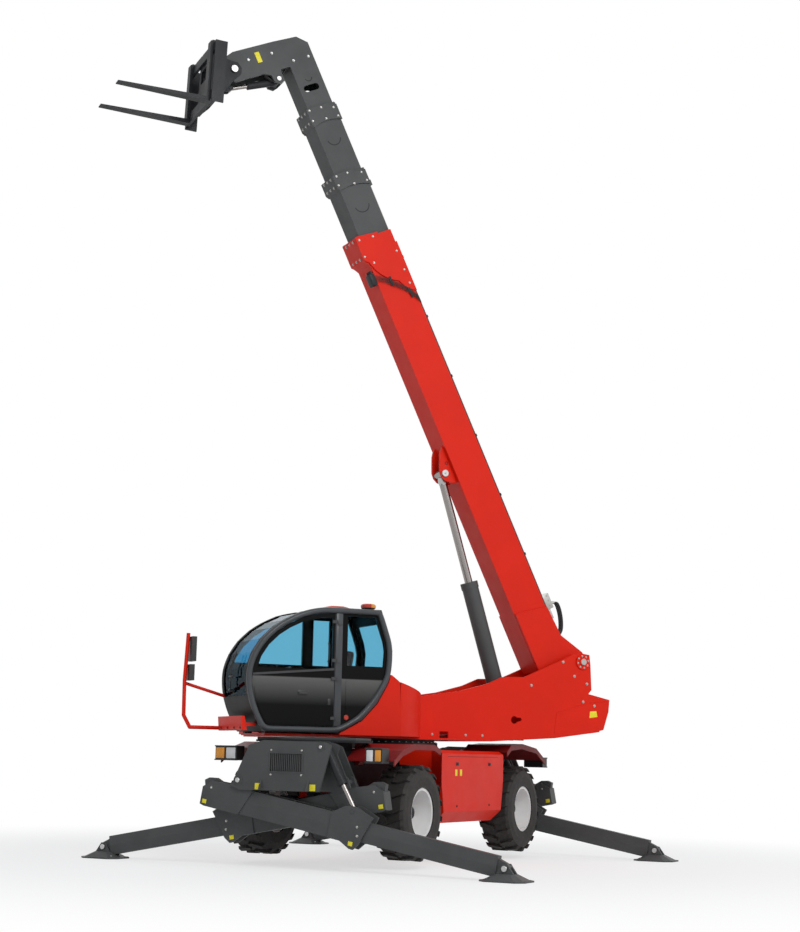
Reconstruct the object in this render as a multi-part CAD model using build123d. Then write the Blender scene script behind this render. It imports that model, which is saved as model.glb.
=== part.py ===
from build123d import *
import os
from math import atan2, cos, degrees, hypot, radians, sin, tan

# Rotating telehandler, standing on its four crossed outriggers with the boom raised.
# Millimetres. The upper structure faces -Y with its left side at +X, and the undercarriage
# is swung under it by SLEW. Everything is first built about the slew axis on the ground.

# ---- Driving dimensions -------------------------------------------------------------
SLEW = 38.56            # undercarriage turned under the upper structure, degrees
BOOM_ANGLE = 64.0       # boom above the horizontal, degrees
RUNNING = 0.3           # gap between pieces that slide on each other
PIN_FIT = 0.05          # radial gap of a pin in its bore
EYE_FIT = 1.0           # side gap of an eye that stands open between two stub pins

# Wheels and axles
WHEELBASE = 3120.0
TRACK = 2060.0
HUB_Z = 673.0
TYRE_R = 575.0
TYRE_W = 445.0
TYRE_CARCASS_R = 542.0
RIM_R = 286.0
RIM_W = 396.0
RIM_WALL = 12.0
RIM_FLANGE = 20.0
DISC_INSET = 120.0      # wheel disc inboard of the rim's middle
HUB_R = 130.0
SPINDLE_R = 50.0
KINGPIN_V = 700.0
KINGPIN_R = 34.0
KNUCKLE_R = 54.0        # knuckle's barrel about its kingpin
LUGS = 18               # tread lugs on each side of a tyre
STEER_MAX = 27.0
AXLE_TUBE_R = 92.0

# Undercarriage
FRAME_HALF_W = 420.0
FRAME_Z = (900.0, 1400.0)
FRAME_WALL = 20.0
DECK_Z = (1500.0, 1524.0)
RING_R = 610.0
RING_Z = 1575.0         # underside of the upper structure
FRONT_SET_U = 2537.0    # middle of the front pair of outriggers, ahead of the slew axis
REAR_SET_U = 2614.0     # middle of the rear pair, behind it
BEAM_PITCH = 194.0      # between the planes of the two beams of a pair

# Outriggers, along a beam from its hinge pin and square to it
BEAM_TILT = 10.3
HINGE_V = 671.0
HINGE_Z = 1029.0
HINGE_PIN_R = 35.0
BEAM_ROOT = -504.0
BEAM_MOUTH = 1700.0
BEAM_TOP = -94.0
BEAM_H = 306.0
BEAM_W = 148.0
BEAM_WALL = 12.0
CHEEK_T = 10.0
LEG_H = 236.0
LEG_W = 116.0
LEG_WALL = 10.0
LEG_IN = 1075.0
LEG_OUT = 3500.0
FOOT_PIN_A = 3603.0
LEG_STROKE = 1470.0
SIDE_BEND = 12.0        # beams and legs are this much narrower at their edges than at mid height
PAD_L = 560.0
PAD_W = 440.0
PAD_T = 30.0
STAB_TOP = (474.0, 1440.0)      # cylinder's upper pin: across, up
STAB_EYE = (1603.0, -42.0)      # its lower pin: along the beam, square to it
STAB_BARREL_R = 52.0
STAB_ROD_R = 30.0
STAB_BARREL_L = 500.0
STAB_PIN_R = 20.0
STAB_EYE_W = 60.0
STAB_EYE_R = 34.0
PLATE_T = 25.0

# Upper structure
PLATE_X = 385.0         # outer face of the turret's side plates
PLATE_WALL = 30.0
BASE_Z = (1575.0, 1600.0)
PIVOT = (2708.0, 2702.0)        # boom pivot: y, z
PIVOT_PIN_R = 60.0
CAB_X = (310.0, 1250.0)
CAB_RING = 70.0
CAB_SKIN = 40.0
PILLAR_Y = -1290.0
PILLAR_W = 110.0
GLASS_T = 6.0
SILL_Z = 2400.0
POD_X = (-1250.0, -425.0)
POD_Y = (-1750.0, 1250.0)
POD_TOP = 2150.0
POD_WALL = 25.0

# Boom, along its length from the pivot and square to it (towards its top side)
SECTION_TABLE = (
    # name, inner end, outer end, underside, top, width, wall
    ("boom_section_1", -150.0, 6620.0, -620.0, -110.0, 420.0, 10.0),
    ("boom_section_2", 800.0, 7560.0, -600.0, -130.0, 380.0, 9.0),
    ("boom_section_3", 1490.0, 8560.0, -582.0, -148.0, 344.0, 8.0),
    ("boom_section_4", 2260.0, 9300.0, -566.0, -164.0, 312.0, 8.0),
)
COLLAR_T = 22.0
STAGE_REST = 620.0      # how far each stage is out
STAGE_STROKE = 5320.0
LIFT_EYE = (3180.0, -740.0)
LIFT_FOOT = (1670.0, 1940.0)    # y, z
LIFT_BARREL_R = 115.0
LIFT_BARREL_L = 1850.0
LIFT_ROD_R = 55.0
LIFT_ROD_L = 1965.0
LIFT_EYE_R = 58.0
LIFT_PIN_R = 34.0
LIFT_EYE_W = 200.0
BRACKET_T = 35.0
LIFT_FOOT_L = 130.0     # solid foot below the barrel's bore
EXTEND_N = -52.0        # axis of the extension cylinder on the boom's back
EXTEND_R = 45.0
CARRIAGE_PIVOT = (9370.0, -1390.0)
FORK_L = 1200.0
FORK_X = 450.0
FORK_Z = 9850.0
CARRIAGE_TILT = 2.0
CARRIAGE_PIN_R = 45.0
TILT_EYE_W = 56.0
TILT_EYE_R = 36.0
TILT_EYE_PIN_R = 18.0


# ---- Shapes ---------------------------------------------------------------------------
def outline(points, radius=0.0):
    """A closed face through the points, its corners rounded if a radius is given."""
    if radius:
        return make_face(FilletPolyline(*points, radius=radius, close=True))
    return make_face(Polyline(*points, close=True))


def bowed(points):
    """A closed face through (a, b, bow) points, each edge to the next point bowed by its bow."""
    edges = []
    for (a0, b0, bow), (a1, b1, _) in zip(points, points[1:] + points[:1]):
        edges.append(SagittaArc((a0, b0), (a1, b1), bow) if bow else Line((a0, b0), (a1, b1)))
    return make_face(edges)


def slab_x(points, x0, x1, radius=0.0):
    """An outline of (y, z) points, thick from x0 to x1."""
    return extrude(Plane.YZ.offset(x0) * outline(points, radius), x1 - x0)


def slab_y(points, y0, y1, radius=0.0):
    """An outline of (x, z) points, thick from y0 to y1."""
    return extrude(Plane.XZ.offset(-y1) * outline(points, radius), y1 - y0)


def slab_z(points, z0, z1, radius=0.0):
    """An outline of (x, y) points, thick from z0 to z1."""
    return extrude(Plane.XY.offset(z0) * outline(points, radius), z1 - z0)


def block(x0, x1, y0, y1, z0, z1):
    """A box between two corners."""
    middle = Pos((x0 + x1) / 2, (y0 + y1) / 2, (z0 + z1) / 2)
    return middle * Box(abs(x1 - x0), abs(y1 - y0), abs(z1 - z0))


def rod(start, end, radius):
    """A round bar from one point to another."""
    start, end = Vector(*start), Vector(*end)
    along = end - start
    place = Plane(origin=start, z_dir=along)
    return place * Cylinder(radius, along.length, align=(Align.CENTER, Align.CENTER, Align.MIN))


def joined(*shapes):
    """One solid from shapes that touch or overlap."""
    whole = shapes[0]
    for shape in shapes[1:]:
        whole = whole + shape
    return whole


def swing_under(shape):
    """Turns a piece of the undercarriage from its own axes to the upper structure's."""
    return Rot(0, 0, SLEW) * shape


nodes = {}


def add(name, *shapes):
    """Keeps the solids of one node."""
    nodes.setdefault(name, []).extend(shapes)


# ---- Wheels, built about the axle's line with their outer side at +X --------------------
def tyre():
    """Carcass of flat facets around a round bore, with a row of slanted lugs on each side."""
    facets = 2 * LUGS
    half = TYRE_W / 2
    bands = (
        # across, radius of the corner circle
        (-half + 8, RIM_R + 44),
        (-half, 430.0),
        (-half + 14, TYRE_CARCASS_R - 30),
        (-half + 50, TYRE_CARCASS_R),
        (half - 50, TYRE_CARCASS_R),
        (half - 14, TYRE_CARCASS_R - 30),
        (half, 430.0),
        (half - 8, RIM_R + 44),
    )
    rings = [Plane.YZ.offset(v) * RegularPolygon(r, facets) for v, r in bands]
    body = loft(rings, ruled=True)
    for side in (-1, 1):
        for i in range(LUGS):
            turn = (i + (0.25 if side > 0 else 0.75)) * 360 / LUGS
            foot = TYRE_CARCASS_R - 8
            lug = slab_z(
                [
                    (side * 8, -46),
                    (side * 70, -52),
                    (side * (half - 2), 6),
                    (side * (half - 2), 66),
                    (side * 120, 48),
                    (side * 8, 4),
                ],
                foot,
                TYRE_R,
            )
            edge = slab_y([(side * (half + 40), foot - 60), (side * (half + 40), TYRE_R + 1),
                           (side * (half - 28), TYRE_R + 1)], -200, 200)
            body += Rot(turn, 0, 0) * (lug - edge)
    bore = rod((-half - 1, 0, 0), (half + 1, 0, 0), RIM_R + RUNNING)
    seat = RIM_W / 2 - 12 - RUNNING
    for side in (-1, 1):
        bore = bore + rod((side * seat, 0, 0), (side * (half + 1), 0, 0), RIM_R + RIM_FLANGE + 2)
    return body - bore


def rim():
    """Deep-dished wheel: barrel with two flanges, inset disc and hub with the spindle's bore."""
    half = RIM_W / 2
    flange = RIM_FLANGE
    barrel = [
        (-half, RIM_R + flange), (-half + 12, RIM_R + flange), (-half + 12, RIM_R),
        (half - 12, RIM_R), (half - 12, RIM_R + flange), (half, RIM_R + flange),
        (half, RIM_R - 14), (half - 60, RIM_R - RIM_WALL), (-half + 40, RIM_R - RIM_WALL),
        (-half, RIM_R - 4),
    ]
    disc = [
        (-DISC_INSET, SPINDLE_R + PIN_FIT), (-DISC_INSET, RIM_R - 2), (-DISC_INSET + 16, RIM_R - 2),
        (-DISC_INSET + 34, 200.0), (-DISC_INSET + 34, HUB_R), (10.0, HUB_R - 8),
        (30.0, HUB_R - 34), (30.0, SPINDLE_R + PIN_FIT),
    ]
    barrel_ring = revolve(Plane.XY * outline(barrel), Axis.X)
    disc_ring = revolve(Plane.XY * outline(disc), Axis.X)
    return barrel_ring + disc_ring


def knuckle():
    """Steering knuckle about the wheel's line: kingpin block, flange and spindle."""
    king = KINGPIN_V - TRACK / 2
    face = -DISC_INSET - RUNNING
    block_half = 96.0
    body = joined(
        rod((king, 0, -block_half), (king, 0, block_half), KNUCKLE_R),
        block(king, king + 60, -KNUCKLE_R, KNUCKLE_R, -block_half + 10, block_half - 10),
        rod((king + 20, 0, 0), (face, 0, 0), 95),
        rod((face - 30, 0, 0), (face, 0, 0), 150),
        rod((face - 1, 0, 0), (24, 0, 0), SPINDLE_R),
        block(king - 10, king + 30, 60, 250, -62, -36),
    )
    bore = rod((king, 0, -block_half - 1), (king, 0, block_half + 1), KINGPIN_R + PIN_FIT)
    return body - bore


def wheel_place(u, side):
    """Where a wheel's own axes lie on the undercarriage; side is 1 on the left."""
    turn = Rot(0, 0, 0) if side > 0 else Rot(0, 0, 180)
    return Pos(side * TRACK / 2, -u, HUB_Z) * turn


CORNERS = (
    # name, along, side
    ("front_left", WHEELBASE / 2, 1),
    ("front_right", WHEELBASE / 2, -1),
    ("rear_left", -WHEELBASE / 2, 1),
    ("rear_right", -WHEELBASE / 2, -1),
)
one_tyre, one_rim, one_knuckle = tyre(), rim(), knuckle()
for corner, along, side in CORNERS:
    place = wheel_place(along, side)
    add("tyre_" + corner, swing_under(place * one_tyre))
    add("rim_" + corner, swing_under(place * one_rim))
    add("knuckle_" + corner, swing_under(place * one_knuckle))


# ---- Axles, gearbox and shafts -----------------------------------------------------------
def axle():
    """Axle housing about its middle: bowl, tapered tubes, end yokes with kingpins, seats."""
    yoke_in = KINGPIN_V - 60
    housing = joined(
        rod((-yoke_in, 0, 0), (yoke_in, 0, 0), AXLE_TUBE_R),
        Sphere(185),
        rod((0, 0, 0), (0, 210, 0), 95),
    )
    for side in (-1, 1):
        yoke = slab_y([(side * (yoke_in - 150), -80), (side * (yoke_in - 60), -160),
                       (side * (KINGPIN_V + 45), -160), (side * (KINGPIN_V + 45), 160),
                       (side * (yoke_in - 60), 160), (side * (yoke_in - 150), 80)], -68, 68)
        gap = block(side * (KINGPIN_V - 60), side * (KINGPIN_V + 70), -80, 80, -101, 101)
        pin = rod((side * KINGPIN_V, 0, -150), (side * KINGPIN_V, 0, 150), KINGPIN_R)
        seat = block(side * 250, side * 350, -90, 90, 40, FRAME_Z[0] - HUB_Z)
        housing = joined(housing, yoke - gap, pin, seat)
    return housing


half_base = WHEELBASE / 2
add("axles", swing_under(Pos(0, -half_base, HUB_Z) * Rot(0, 0, 0) * axle()))
add("axles", swing_under(Pos(0, half_base, HUB_Z) * Rot(0, 0, 180) * axle()))
gearbox_half = 260.0
gearbox = joined(
    block(-190, 190, -gearbox_half, gearbox_half, 600, FRAME_Z[0]),
    rod((0, -half_base + 211, HUB_Z), (0, -gearbox_half, HUB_Z), 42),
    rod((0, gearbox_half, HUB_Z), (0, half_base - 211, HUB_Z), 42),
    rod((0, -half_base + 211, HUB_Z), (0, -half_base + 260, HUB_Z), 70),
    rod((0, half_base - 260, HUB_Z), (0, half_base - 211, HUB_Z), 70),
)
add("axles", swing_under(gearbox))


# ---- Chassis frame, slewing ring, side boxes, mudguards -----------------------------------
def chassis_frame():
    """Welded box between the carriers, wider between the wheels, with the ring's seat on top."""
    front = -(FRONT_SET_U - BEAM_PITCH / 2 - 118)
    rear = REAR_SET_U - BEAM_PITCH / 2 - 118
    shell = block(-FRAME_HALF_W, FRAME_HALF_W, front, rear, *FRAME_Z)
    hollow = block(-FRAME_HALF_W + FRAME_WALL, FRAME_HALF_W - FRAME_WALL, front + FRAME_WALL,
                   rear - FRAME_WALL, FRAME_Z[0] - 1, FRAME_Z[1] - FRAME_WALL)
    ribs = [block(-FRAME_HALF_W, FRAME_HALF_W, y - 12, y + 12, *FRAME_Z)
            for y in (-half_base - 250, -half_base + 250, -450, 450, half_base - 250, half_base + 250)]
    wings = block(-500 + RUNNING, 500 - RUNNING, -758, 758, FRAME_Z[1] - 120, FRAME_Z[1])
    seat = joined(rod((0, 0, FRAME_Z[1] - 1), (0, 0, 1450), 490), rod((0, 0, 1446), (0, 0, 1490), RING_R))
    well = rod((0, 0, FRAME_Z[1] - 60), (0, 0, 1491), RING_R - 160)
    deck = slab_z([(-720, front), (720, front), (720, front + 420), (420, front + 700),
                   (-420, front + 700), (-720, front + 420)], *DECK_Z, 40)
    posts = [block(x - 30, x + 30, front + 60, front + 520, FRAME_Z[1] - 1, DECK_Z[0] + 1)
             for x in (-340, 340)]
    floor = block(-FRAME_HALF_W, FRAME_HALF_W, -300, 300, FRAME_Z[0], FRAME_Z[0] + 16)
    whole = joined(shell - hollow, floor, *ribs, wings, seat, deck, *posts)
    return whole - well


def ring():
    """Toothed ring in two steps under the upper structure."""
    outer = rod((0, 0, 1490), (0, 0, 1535), RING_R - 10)
    upper = rod((0, 0, 1535), (0, 0, RING_Z - RUNNING), RING_R - 50)
    hole = rod((0, 0, 1480), (0, 0, RING_Z + 10), RING_R - 150)
    return joined(outer, upper) - hole


def side_box(side):
    """Tapered red box between the wheels, its lower edge bevelled."""
    profile = [(side * 500, 530), (side * 1085, 530), (side * 1200, 670),
               (side * 1200, 1400), (side * 1150, 1440), (side * 500, 1440)]
    body = slab_y(profile, -1000, 1000)
    plan = slab_z([(side * 490, -760), (side * 960, -760), (side * 1210, -965),
                   (side * 1210, 965), (side * 960, 760), (side * 490, 760)], 500, 1500)
    elevation = slab_x([(-790, 520), (-880, 640), (-1000, 1280), (-960, 1450),
                        (960, 1450), (1000, 1280), (880, 640), (790, 520)], -1300, 1300)
    inner = slab_y([(side * 490, 552), (side * 1074, 552), (side * 1178, 680),
                    (side * 1178, 1392), (side * 1140, 1420), (side * 490, 1420)], -735, 735)
    return (body & plan & elevation) - inner


MUDGUARD_IN = 560.0
MUDGUARD_OUT = 1225.0
MUDGUARD_T = 16.0


def mudguard(points, side):
    """Bent sheet over a wheel: points of its upper face along the vehicle, as (y, z)."""
    lower = [(y, z - MUDGUARD_T) for y, z in reversed(points)]
    sheet = slab_x(list(points) + lower, MUDGUARD_IN, MUDGUARD_OUT)
    lip_low = [(y, z - 70) for y, z in reversed(points)]
    lip = slab_x(list(points) + lip_low, MUDGUARD_OUT - MUDGUARD_T, MUDGUARD_OUT)
    y_mid = points[2][0]
    top = points[2][1] - MUDGUARD_T + 2
    arm = slab_y([(FRAME_HALF_W + RUNNING, 1240), (FRAME_HALF_W + 50, 1240), (MUDGUARD_IN + 30, top - 90),
                  (MUDGUARD_IN + 30, top), (FRAME_HALF_W + RUNNING, top)], y_mid - 60, y_mid + 60)
    whole = joined(sheet, lip, arm)
    return whole if side > 0 else mirror(whole, Plane.YZ)


FRONT_GUARD = ((-2300, 1300), (-2090, 1420), (-1760, 1500), (-1240, 1500), (-1040, 1446))
REAR_GUARD = ((1040, 1446), (1180, 1530), (1560, 1556), (2060, 1500), (2380, 1350))
add("chassis_frame", swing_under(chassis_frame()))
add("slew_ring", swing_under(ring()))
for side in (1, -1):
    add("side_boxes", swing_under(side_box(side)))
    add("mudguards", swing_under(mudguard(FRONT_GUARD, side)))
    add("mudguards", swing_under(mudguard(REAR_GUARD, side)))


# ---- Outrigger carriers ------------------------------------------------------------------
PLATE_OUTLINE = ((-770, 965), (-655, 915), (465, 915), (612, 1465), (515, 1496), (-325, 1512), (-532, 1450))
GRILLE = (-228.0, 222.0, 1145.0, 1355.0)
PLATE_OFFSET = BEAM_PITCH / 2 + BEAM_W / 2 + CHEEK_T + 8


def carrier(middle):
    """Three plates across the vehicle's end, two beams hinged between them, at y = -middle."""
    outer = slab_y(PLATE_OUTLINE, -middle - PLATE_OFFSET - PLATE_T, -middle - PLATE_OFFSET)
    mirrored = [(-x, z) for x, z in PLATE_OUTLINE]
    inner = slab_y(mirrored, -middle + PLATE_OFFSET, -middle + PLATE_OFFSET + PLATE_T)
    mid = joined(slab_y(PLATE_OUTLINE, -middle - 6, -middle + 6), slab_y(mirrored, -middle - 6, -middle + 6))
    y0, y1 = -middle - PLATE_OFFSET - 1, -middle + PLATE_OFFSET + 1
    top = block(-320, 320, y0, y1, 1470, 1492)
    core = joined(block(-280, -262, y0, y1, 1120, 1480), block(262, 280, y0, y1, 1120, 1480),
                  block(-280, 280, y0, y1, 1120, 1138))
    window = block(GRILLE[0], GRILLE[1], -middle - PLATE_OFFSET - PLATE_T - 1,
                   -middle - PLATE_OFFSET + 1, GRILLE[2], GRILLE[3])
    bars = [block(x - 6, x + 6, -middle - PLATE_OFFSET - PLATE_T + 4, -middle - PLATE_OFFSET + 2,
                  GRILLE[2] - 1, GRILLE[3] + 1)
            for x in range(int(GRILLE[0]) + 22, int(GRILLE[1]), 26)]
    whole = joined(outer - window, inner, mid, top, core, *bars)
    for x in (-341.0, 313.0):
        rib = slab_x([(-middle - PLATE_OFFSET - PLATE_T - 60, 925), (-middle - PLATE_OFFSET - PLATE_T + 2, 925),
                      (-middle - PLATE_OFFSET - PLATE_T + 2, 1060)], x - 9, x + 9)
        whole = whole + rib
    face = -middle - PLATE_OFFSET - PLATE_T
    frame = block(GRILLE[0] - 16, GRILLE[1] + 16, face - 5, face + 1, GRILLE[2] - 16, GRILLE[3] + 16)
    whole = whole + (frame - block(GRILLE[0], GRILLE[1], face - 6, face + 2, GRILLE[2], GRILLE[3]))
    for sign, plane in ((1, -middle - BEAM_PITCH / 2), (-1, -middle + BEAM_PITCH / 2)):
        reach = PLATE_OFFSET - BEAM_PITCH / 2
        out = (plane - reach - PLATE_T - 6, plane - reach) if sign > 0 else (plane + reach, plane + reach + PLATE_T + 6)
        for x, z, r in ((-sign * HINGE_V, HINGE_Z, 62), (sign * STAB_TOP[0], STAB_TOP[1], 46)):
            whole = whole + rod((x, out[0], z), (x, out[1], z), r)
        ends = (plane - reach - PLATE_T - 14, plane + 97) if sign > 0 else (plane - 97, plane + reach + PLATE_T + 14)
        hinge = rod((-sign * HINGE_V, ends[0], HINGE_Z), (-sign * HINGE_V, ends[1], HINGE_Z), HINGE_PIN_R)
        pin = rod((sign * STAB_TOP[0], ends[0], STAB_TOP[1]), (sign * STAB_TOP[0], ends[1], STAB_TOP[1]), 24)
        whole = joined(whole, hinge, pin)
    return whole


add("outrigger_carriers", swing_under(carrier(FRONT_SET_U)))
add("outrigger_carriers", swing_under(Rot(0, 0, 180) * carrier(REAR_SET_U)))


# ---- Outrigger beams, legs and cylinders, in a beam's own frame: x along, z square to it --
def bent_box(x0, x1, half, low, high):
    """Bar along X whose sides are folded outwards at mid height."""
    middle = (low + high) / 2
    section = [(-half + SIDE_BEND, low), (half - SIDE_BEND, low), (half, middle),
               (half - SIDE_BEND, high), (-half + SIDE_BEND, high), (-half, middle)]
    return extrude(Plane.YZ.offset(x0) * outline(section), x1 - x0)


def beam():
    """Open box with folded sides and thicker cheeks at the hinge and at the mouth."""
    half = BEAM_W / 2
    bottom = BEAM_TOP - BEAM_H
    cut_off = slab_y([(BEAM_ROOT - 1, BEAM_TOP - 90), (BEAM_ROOT - 1, BEAM_TOP + 1),
                      (BEAM_ROOT + 120, BEAM_TOP + 1)], -half, half)
    corner = slab_y([(BEAM_ROOT, BEAM_TOP - 104), (BEAM_ROOT, BEAM_TOP + 1),
                     (BEAM_ROOT + 138, BEAM_TOP + 1)], -half, half)
    tube = bent_box(BEAM_ROOT, BEAM_MOUTH, half, bottom, BEAM_TOP) - cut_off
    hollow = bent_box(BEAM_ROOT + 12, BEAM_MOUTH + 1, half - BEAM_WALL, bottom + BEAM_WALL, BEAM_TOP - BEAM_WALL)
    whole = tube - (hollow - corner)
    root_cheek = [(BEAM_ROOT, bottom + 8), (BEAM_ROOT, BEAM_TOP - 86), (BEAM_ROOT + 120, BEAM_TOP + 6),
                  (-78, BEAM_TOP + 20), (-60, 40), (-28, 72), (28, 72), (60, 40), (78, BEAM_TOP + 20),
                  (215, BEAM_TOP + 6), (60, bottom - 6), (BEAM_ROOT + 60, bottom - 6)]
    mouth_cheek = [(1330, BEAM_TOP - 8), (1500, 6), (1560, 22), (1660, 22), (1884, -56),
                   (1754, -396), (1690, -468), (1640, -466), (1500, bottom - 2), (1330, bottom - 2)]
    inside = half - BEAM_WALL
    for y0, y1 in ((-half - CHEEK_T, -inside), (inside, half + CHEEK_T)):
        whole = joined(whole, slab_y(root_cheek, y0, y1), slab_y(mouth_cheek, y0, y1))
    for z0, z1 in ((bottom + BEAM_WALL - 1, bottom + BEAM_WALL + guide_gap() - RUNNING),
                   (BEAM_TOP - BEAM_WALL - guide_gap() + RUNNING, BEAM_TOP - BEAM_WALL + 1)):
        pad_half = half - BEAM_WALL - SIDE_BEND
        whole = whole + block(BEAM_MOUTH - 160, BEAM_MOUTH - 10, -pad_half, pad_half, z0, z1)
    catch = slab_y([(BEAM_ROOT + 4, BEAM_TOP - 84), (BEAM_ROOT - 20, BEAM_TOP - 10), (BEAM_ROOT + 40, BEAM_TOP + 30),
                    (BEAM_ROOT + 130, BEAM_TOP + 42), (BEAM_ROOT + 240, BEAM_TOP + 6), (BEAM_ROOT + 240, BEAM_TOP - 6),
                    (BEAM_ROOT + 120, BEAM_TOP - 6)], -36, 36)
    whole = whole + catch
    hinge = rod((0, -200, 0), (0, 200, 0), HINGE_PIN_R + PIN_FIT)
    whole = whole - hinge
    for side in (-1, 1):
        near, far = side * (STAB_EYE_W / 2 + EYE_FIT), side * (half + 18)
        whole = whole + rod((STAB_EYE[0], near, STAB_EYE[1]), (STAB_EYE[0], far, STAB_EYE[1]), STAB_PIN_R)
    return whole


def guide_gap():
    """Free height between a leg and its beam, above and below."""
    return (BEAM_H - 2 * BEAM_WALL - LEG_H) / 2


def leg():
    """Inner box of an outrigger with the lug that its foot hangs on."""
    middle = BEAM_TOP - BEAM_H / 2
    half = LEG_W / 2
    low, high = middle - LEG_H / 2, middle + LEG_H / 2
    tube = bent_box(LEG_IN, LEG_OUT, half, low, high)
    hollow = bent_box(LEG_IN - 1, LEG_OUT - 30, half - LEG_WALL, low + LEG_WALL, high - LEG_WALL)
    tongue = slab_y([(LEG_OUT - 10, middle - 70), (FOOT_PIN_A, middle - 55), (FOOT_PIN_A + 50, middle - 20),
                     (FOOT_PIN_A + 50, middle + 30), (FOOT_PIN_A, middle + 60), (LEG_OUT - 10, middle + 90)],
                    -34, 34)
    bore = rod((FOOT_PIN_A, -60, middle), (FOOT_PIN_A, 60, middle), 26 + PIN_FIT)
    return joined(tube - hollow, tongue) - bore


def beam_point(a, b):
    """Across and up on the undercarriage, from along and square to a beam."""
    t = radians(BEAM_TILT)
    return -HINGE_V + a * cos(t) + b * sin(t), HINGE_Z - a * sin(t) + b * cos(t)


def foot():
    """Ground plate with stiffened boss and the two ears that hold the leg's tip, level."""
    across, up = beam_point(FOOT_PIN_A, BEAM_TOP - BEAM_H / 2)
    plan = [(-PAD_L / 2, -PAD_W / 2 + 90), (-PAD_L / 2 + 90, -PAD_W / 2), (PAD_L / 2 - 90, -PAD_W / 2),
            (PAD_L / 2, -PAD_W / 2 + 90), (PAD_L / 2, PAD_W / 2 - 90), (PAD_L / 2 - 90, PAD_W / 2),
            (-PAD_L / 2 + 90, PAD_W / 2), (-PAD_L / 2, PAD_W / 2 - 90)]
    plate = slab_z(plan, 0, PAD_T - 12)
    rings = [Plane.XY.offset(z) * outline([(share * x, share * y) for x, y in plan])
             for share, z in ((0.88, PAD_T - 12), (0.42, up - 58))]
    whole = plate + loft(rings, ruled=True)
    for y0, y1 in ((-60, -60 + 25), (60 - 25, 60)):
        ear = slab_y([(-150, PAD_T - 2), (-52, up + 20), (-30, up + 52), (30, up + 52),
                      (52, up + 20), (150, PAD_T - 2)], y0, y1)
        whole = whole + ear
    pin = rod((0, -74, up), (0, 74, up), 26)
    return Pos(across, 0, 0) * joined(whole, pin)


def from_beam(shape):
    """Places a shape from a left-going beam's frame on the undercarriage."""
    return Pos(-HINGE_V, 0, HINGE_Z) * Rot(0, BEAM_TILT, 0) * shape


eye_v, eye_z = beam_point(*STAB_EYE)
STAB_DX, STAB_DZ = eye_v - STAB_TOP[0], eye_z - STAB_TOP[1]
STAB_LEN = hypot(STAB_DX, STAB_DZ)


def stab_barrel():
    """Outrigger cylinder's barrel, along +X from its upper pin."""
    body = joined(rod((40, 0, 0), (STAB_BARREL_L, 0, 0), STAB_BARREL_R),
                  rod((STAB_BARREL_L - 46, 0, 0), (STAB_BARREL_L, 0, 0), STAB_BARREL_R + 5),
                  rod((0, -38, 0), (0, 38, 0), 46), block(0, 60, -30, 30, -34, 34))
    bore = rod((90, 0, 0), (STAB_BARREL_L + 1, 0, 0), STAB_ROD_R + PIN_FIT)
    pin = rod((0, -60, 0), (0, 60, 0), 24 + PIN_FIT)
    return body - bore - pin


def stab_rod():
    """Its rod, with the eye that stands open on the beam's pin."""
    body = joined(rod((STAB_LEN - 440, 0, 0), (STAB_LEN - 20, 0, 0), STAB_ROD_R),
                  rod((STAB_LEN, -STAB_EYE_W / 2, 0), (STAB_LEN, STAB_EYE_W / 2, 0), STAB_EYE_R))
    return body - rod((STAB_LEN, -60, 0), (STAB_LEN, 60, 0), STAB_PIN_R + 2)


def along_cylinder(shape):
    """Turns a shape along +X to lie from the upper pin towards the beam's pin."""
    return Pos(STAB_TOP[0], 0, STAB_TOP[1]) * Rot(0, degrees(atan2(-STAB_DZ, STAB_DX)), 0) * shape


OUTRIGGERS = (
    # name, the beam's plane ahead of the slew axis, side that it reaches to
    ("front_left", FRONT_SET_U + BEAM_PITCH / 2, 1),
    ("front_right", FRONT_SET_U - BEAM_PITCH / 2, -1),
    ("rear_left", -REAR_SET_U + BEAM_PITCH / 2, 1),
    ("rear_right", -REAR_SET_U - BEAM_PITCH / 2, -1),
)
shapes = (("outrigger_beam_", [from_beam(beam())]), ("outrigger_leg_", [from_beam(leg()), foot()]),
          ("stabiliser_barrel_", [along_cylinder(stab_barrel())]), ("stabiliser_rod_", [along_cylinder(stab_rod())]))
for corner, plane, side in OUTRIGGERS:
    turn = Rot(0, 0, 0) if side > 0 else Rot(0, 0, 180)
    for prefix, solids in shapes:
        add(prefix + corner, *[swing_under(Pos(0, -plane, 0) * turn * s) for s in solids])


# ---- Lamps of the undercarriage ----------------------------------------------------------
LAMPS = (
    # left edge and right edge across, front and back, bottom and top
    (930, 1150, -2480, -2300.3, 1262, 1440),
    (-1190, -880, -2480, -2300.3, 1262, 1440),
    (900, 1190, 2380.3, 2540, 1236, 1376),
    (-1190, -900, 2380.3, 2540, 1236, 1376),
)
for x0, x1, y0, y1, z0, z1 in LAMPS:
    add("lamps", swing_under(block(x0, x1, y0, y1, z0, z1)))


# ---- Turret: side plates, floor, lift lugs, boom pin -------------------------------------
SIDE_PLATE = (
    (-420, 1599), (-420, 2040), (-85, 2086), (133, 2133), (800, 2235), (1206, 2343), (1450, 2447),
    (1790, 2460), (2103, 2595), (2560, 2800), (2659, 2826), (2820, 2805), (2837, 2666),
    (2853, 2319), (2805, 2262), (3145, 2190), (3129, 2023), (3047, 1772), (2983, 1756),
    (2265, 1657), (1300, 1599),
)
BASE_PLAN = (
    (-1200, -1700), (300, -1700), (300, -2250), (1180, -2250), (1180, -460), (640, -460),
    (640, 500), (385, 900), (385, 1300), (-1200, 1300),
)
LIFT_LUG = ((1440, 1599), (1575, 1990), (1620, 2035), (1720, 2035), (1765, 1990), (1900, 1620), (1900, 1599))
LUG_IN = 120.0


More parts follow.
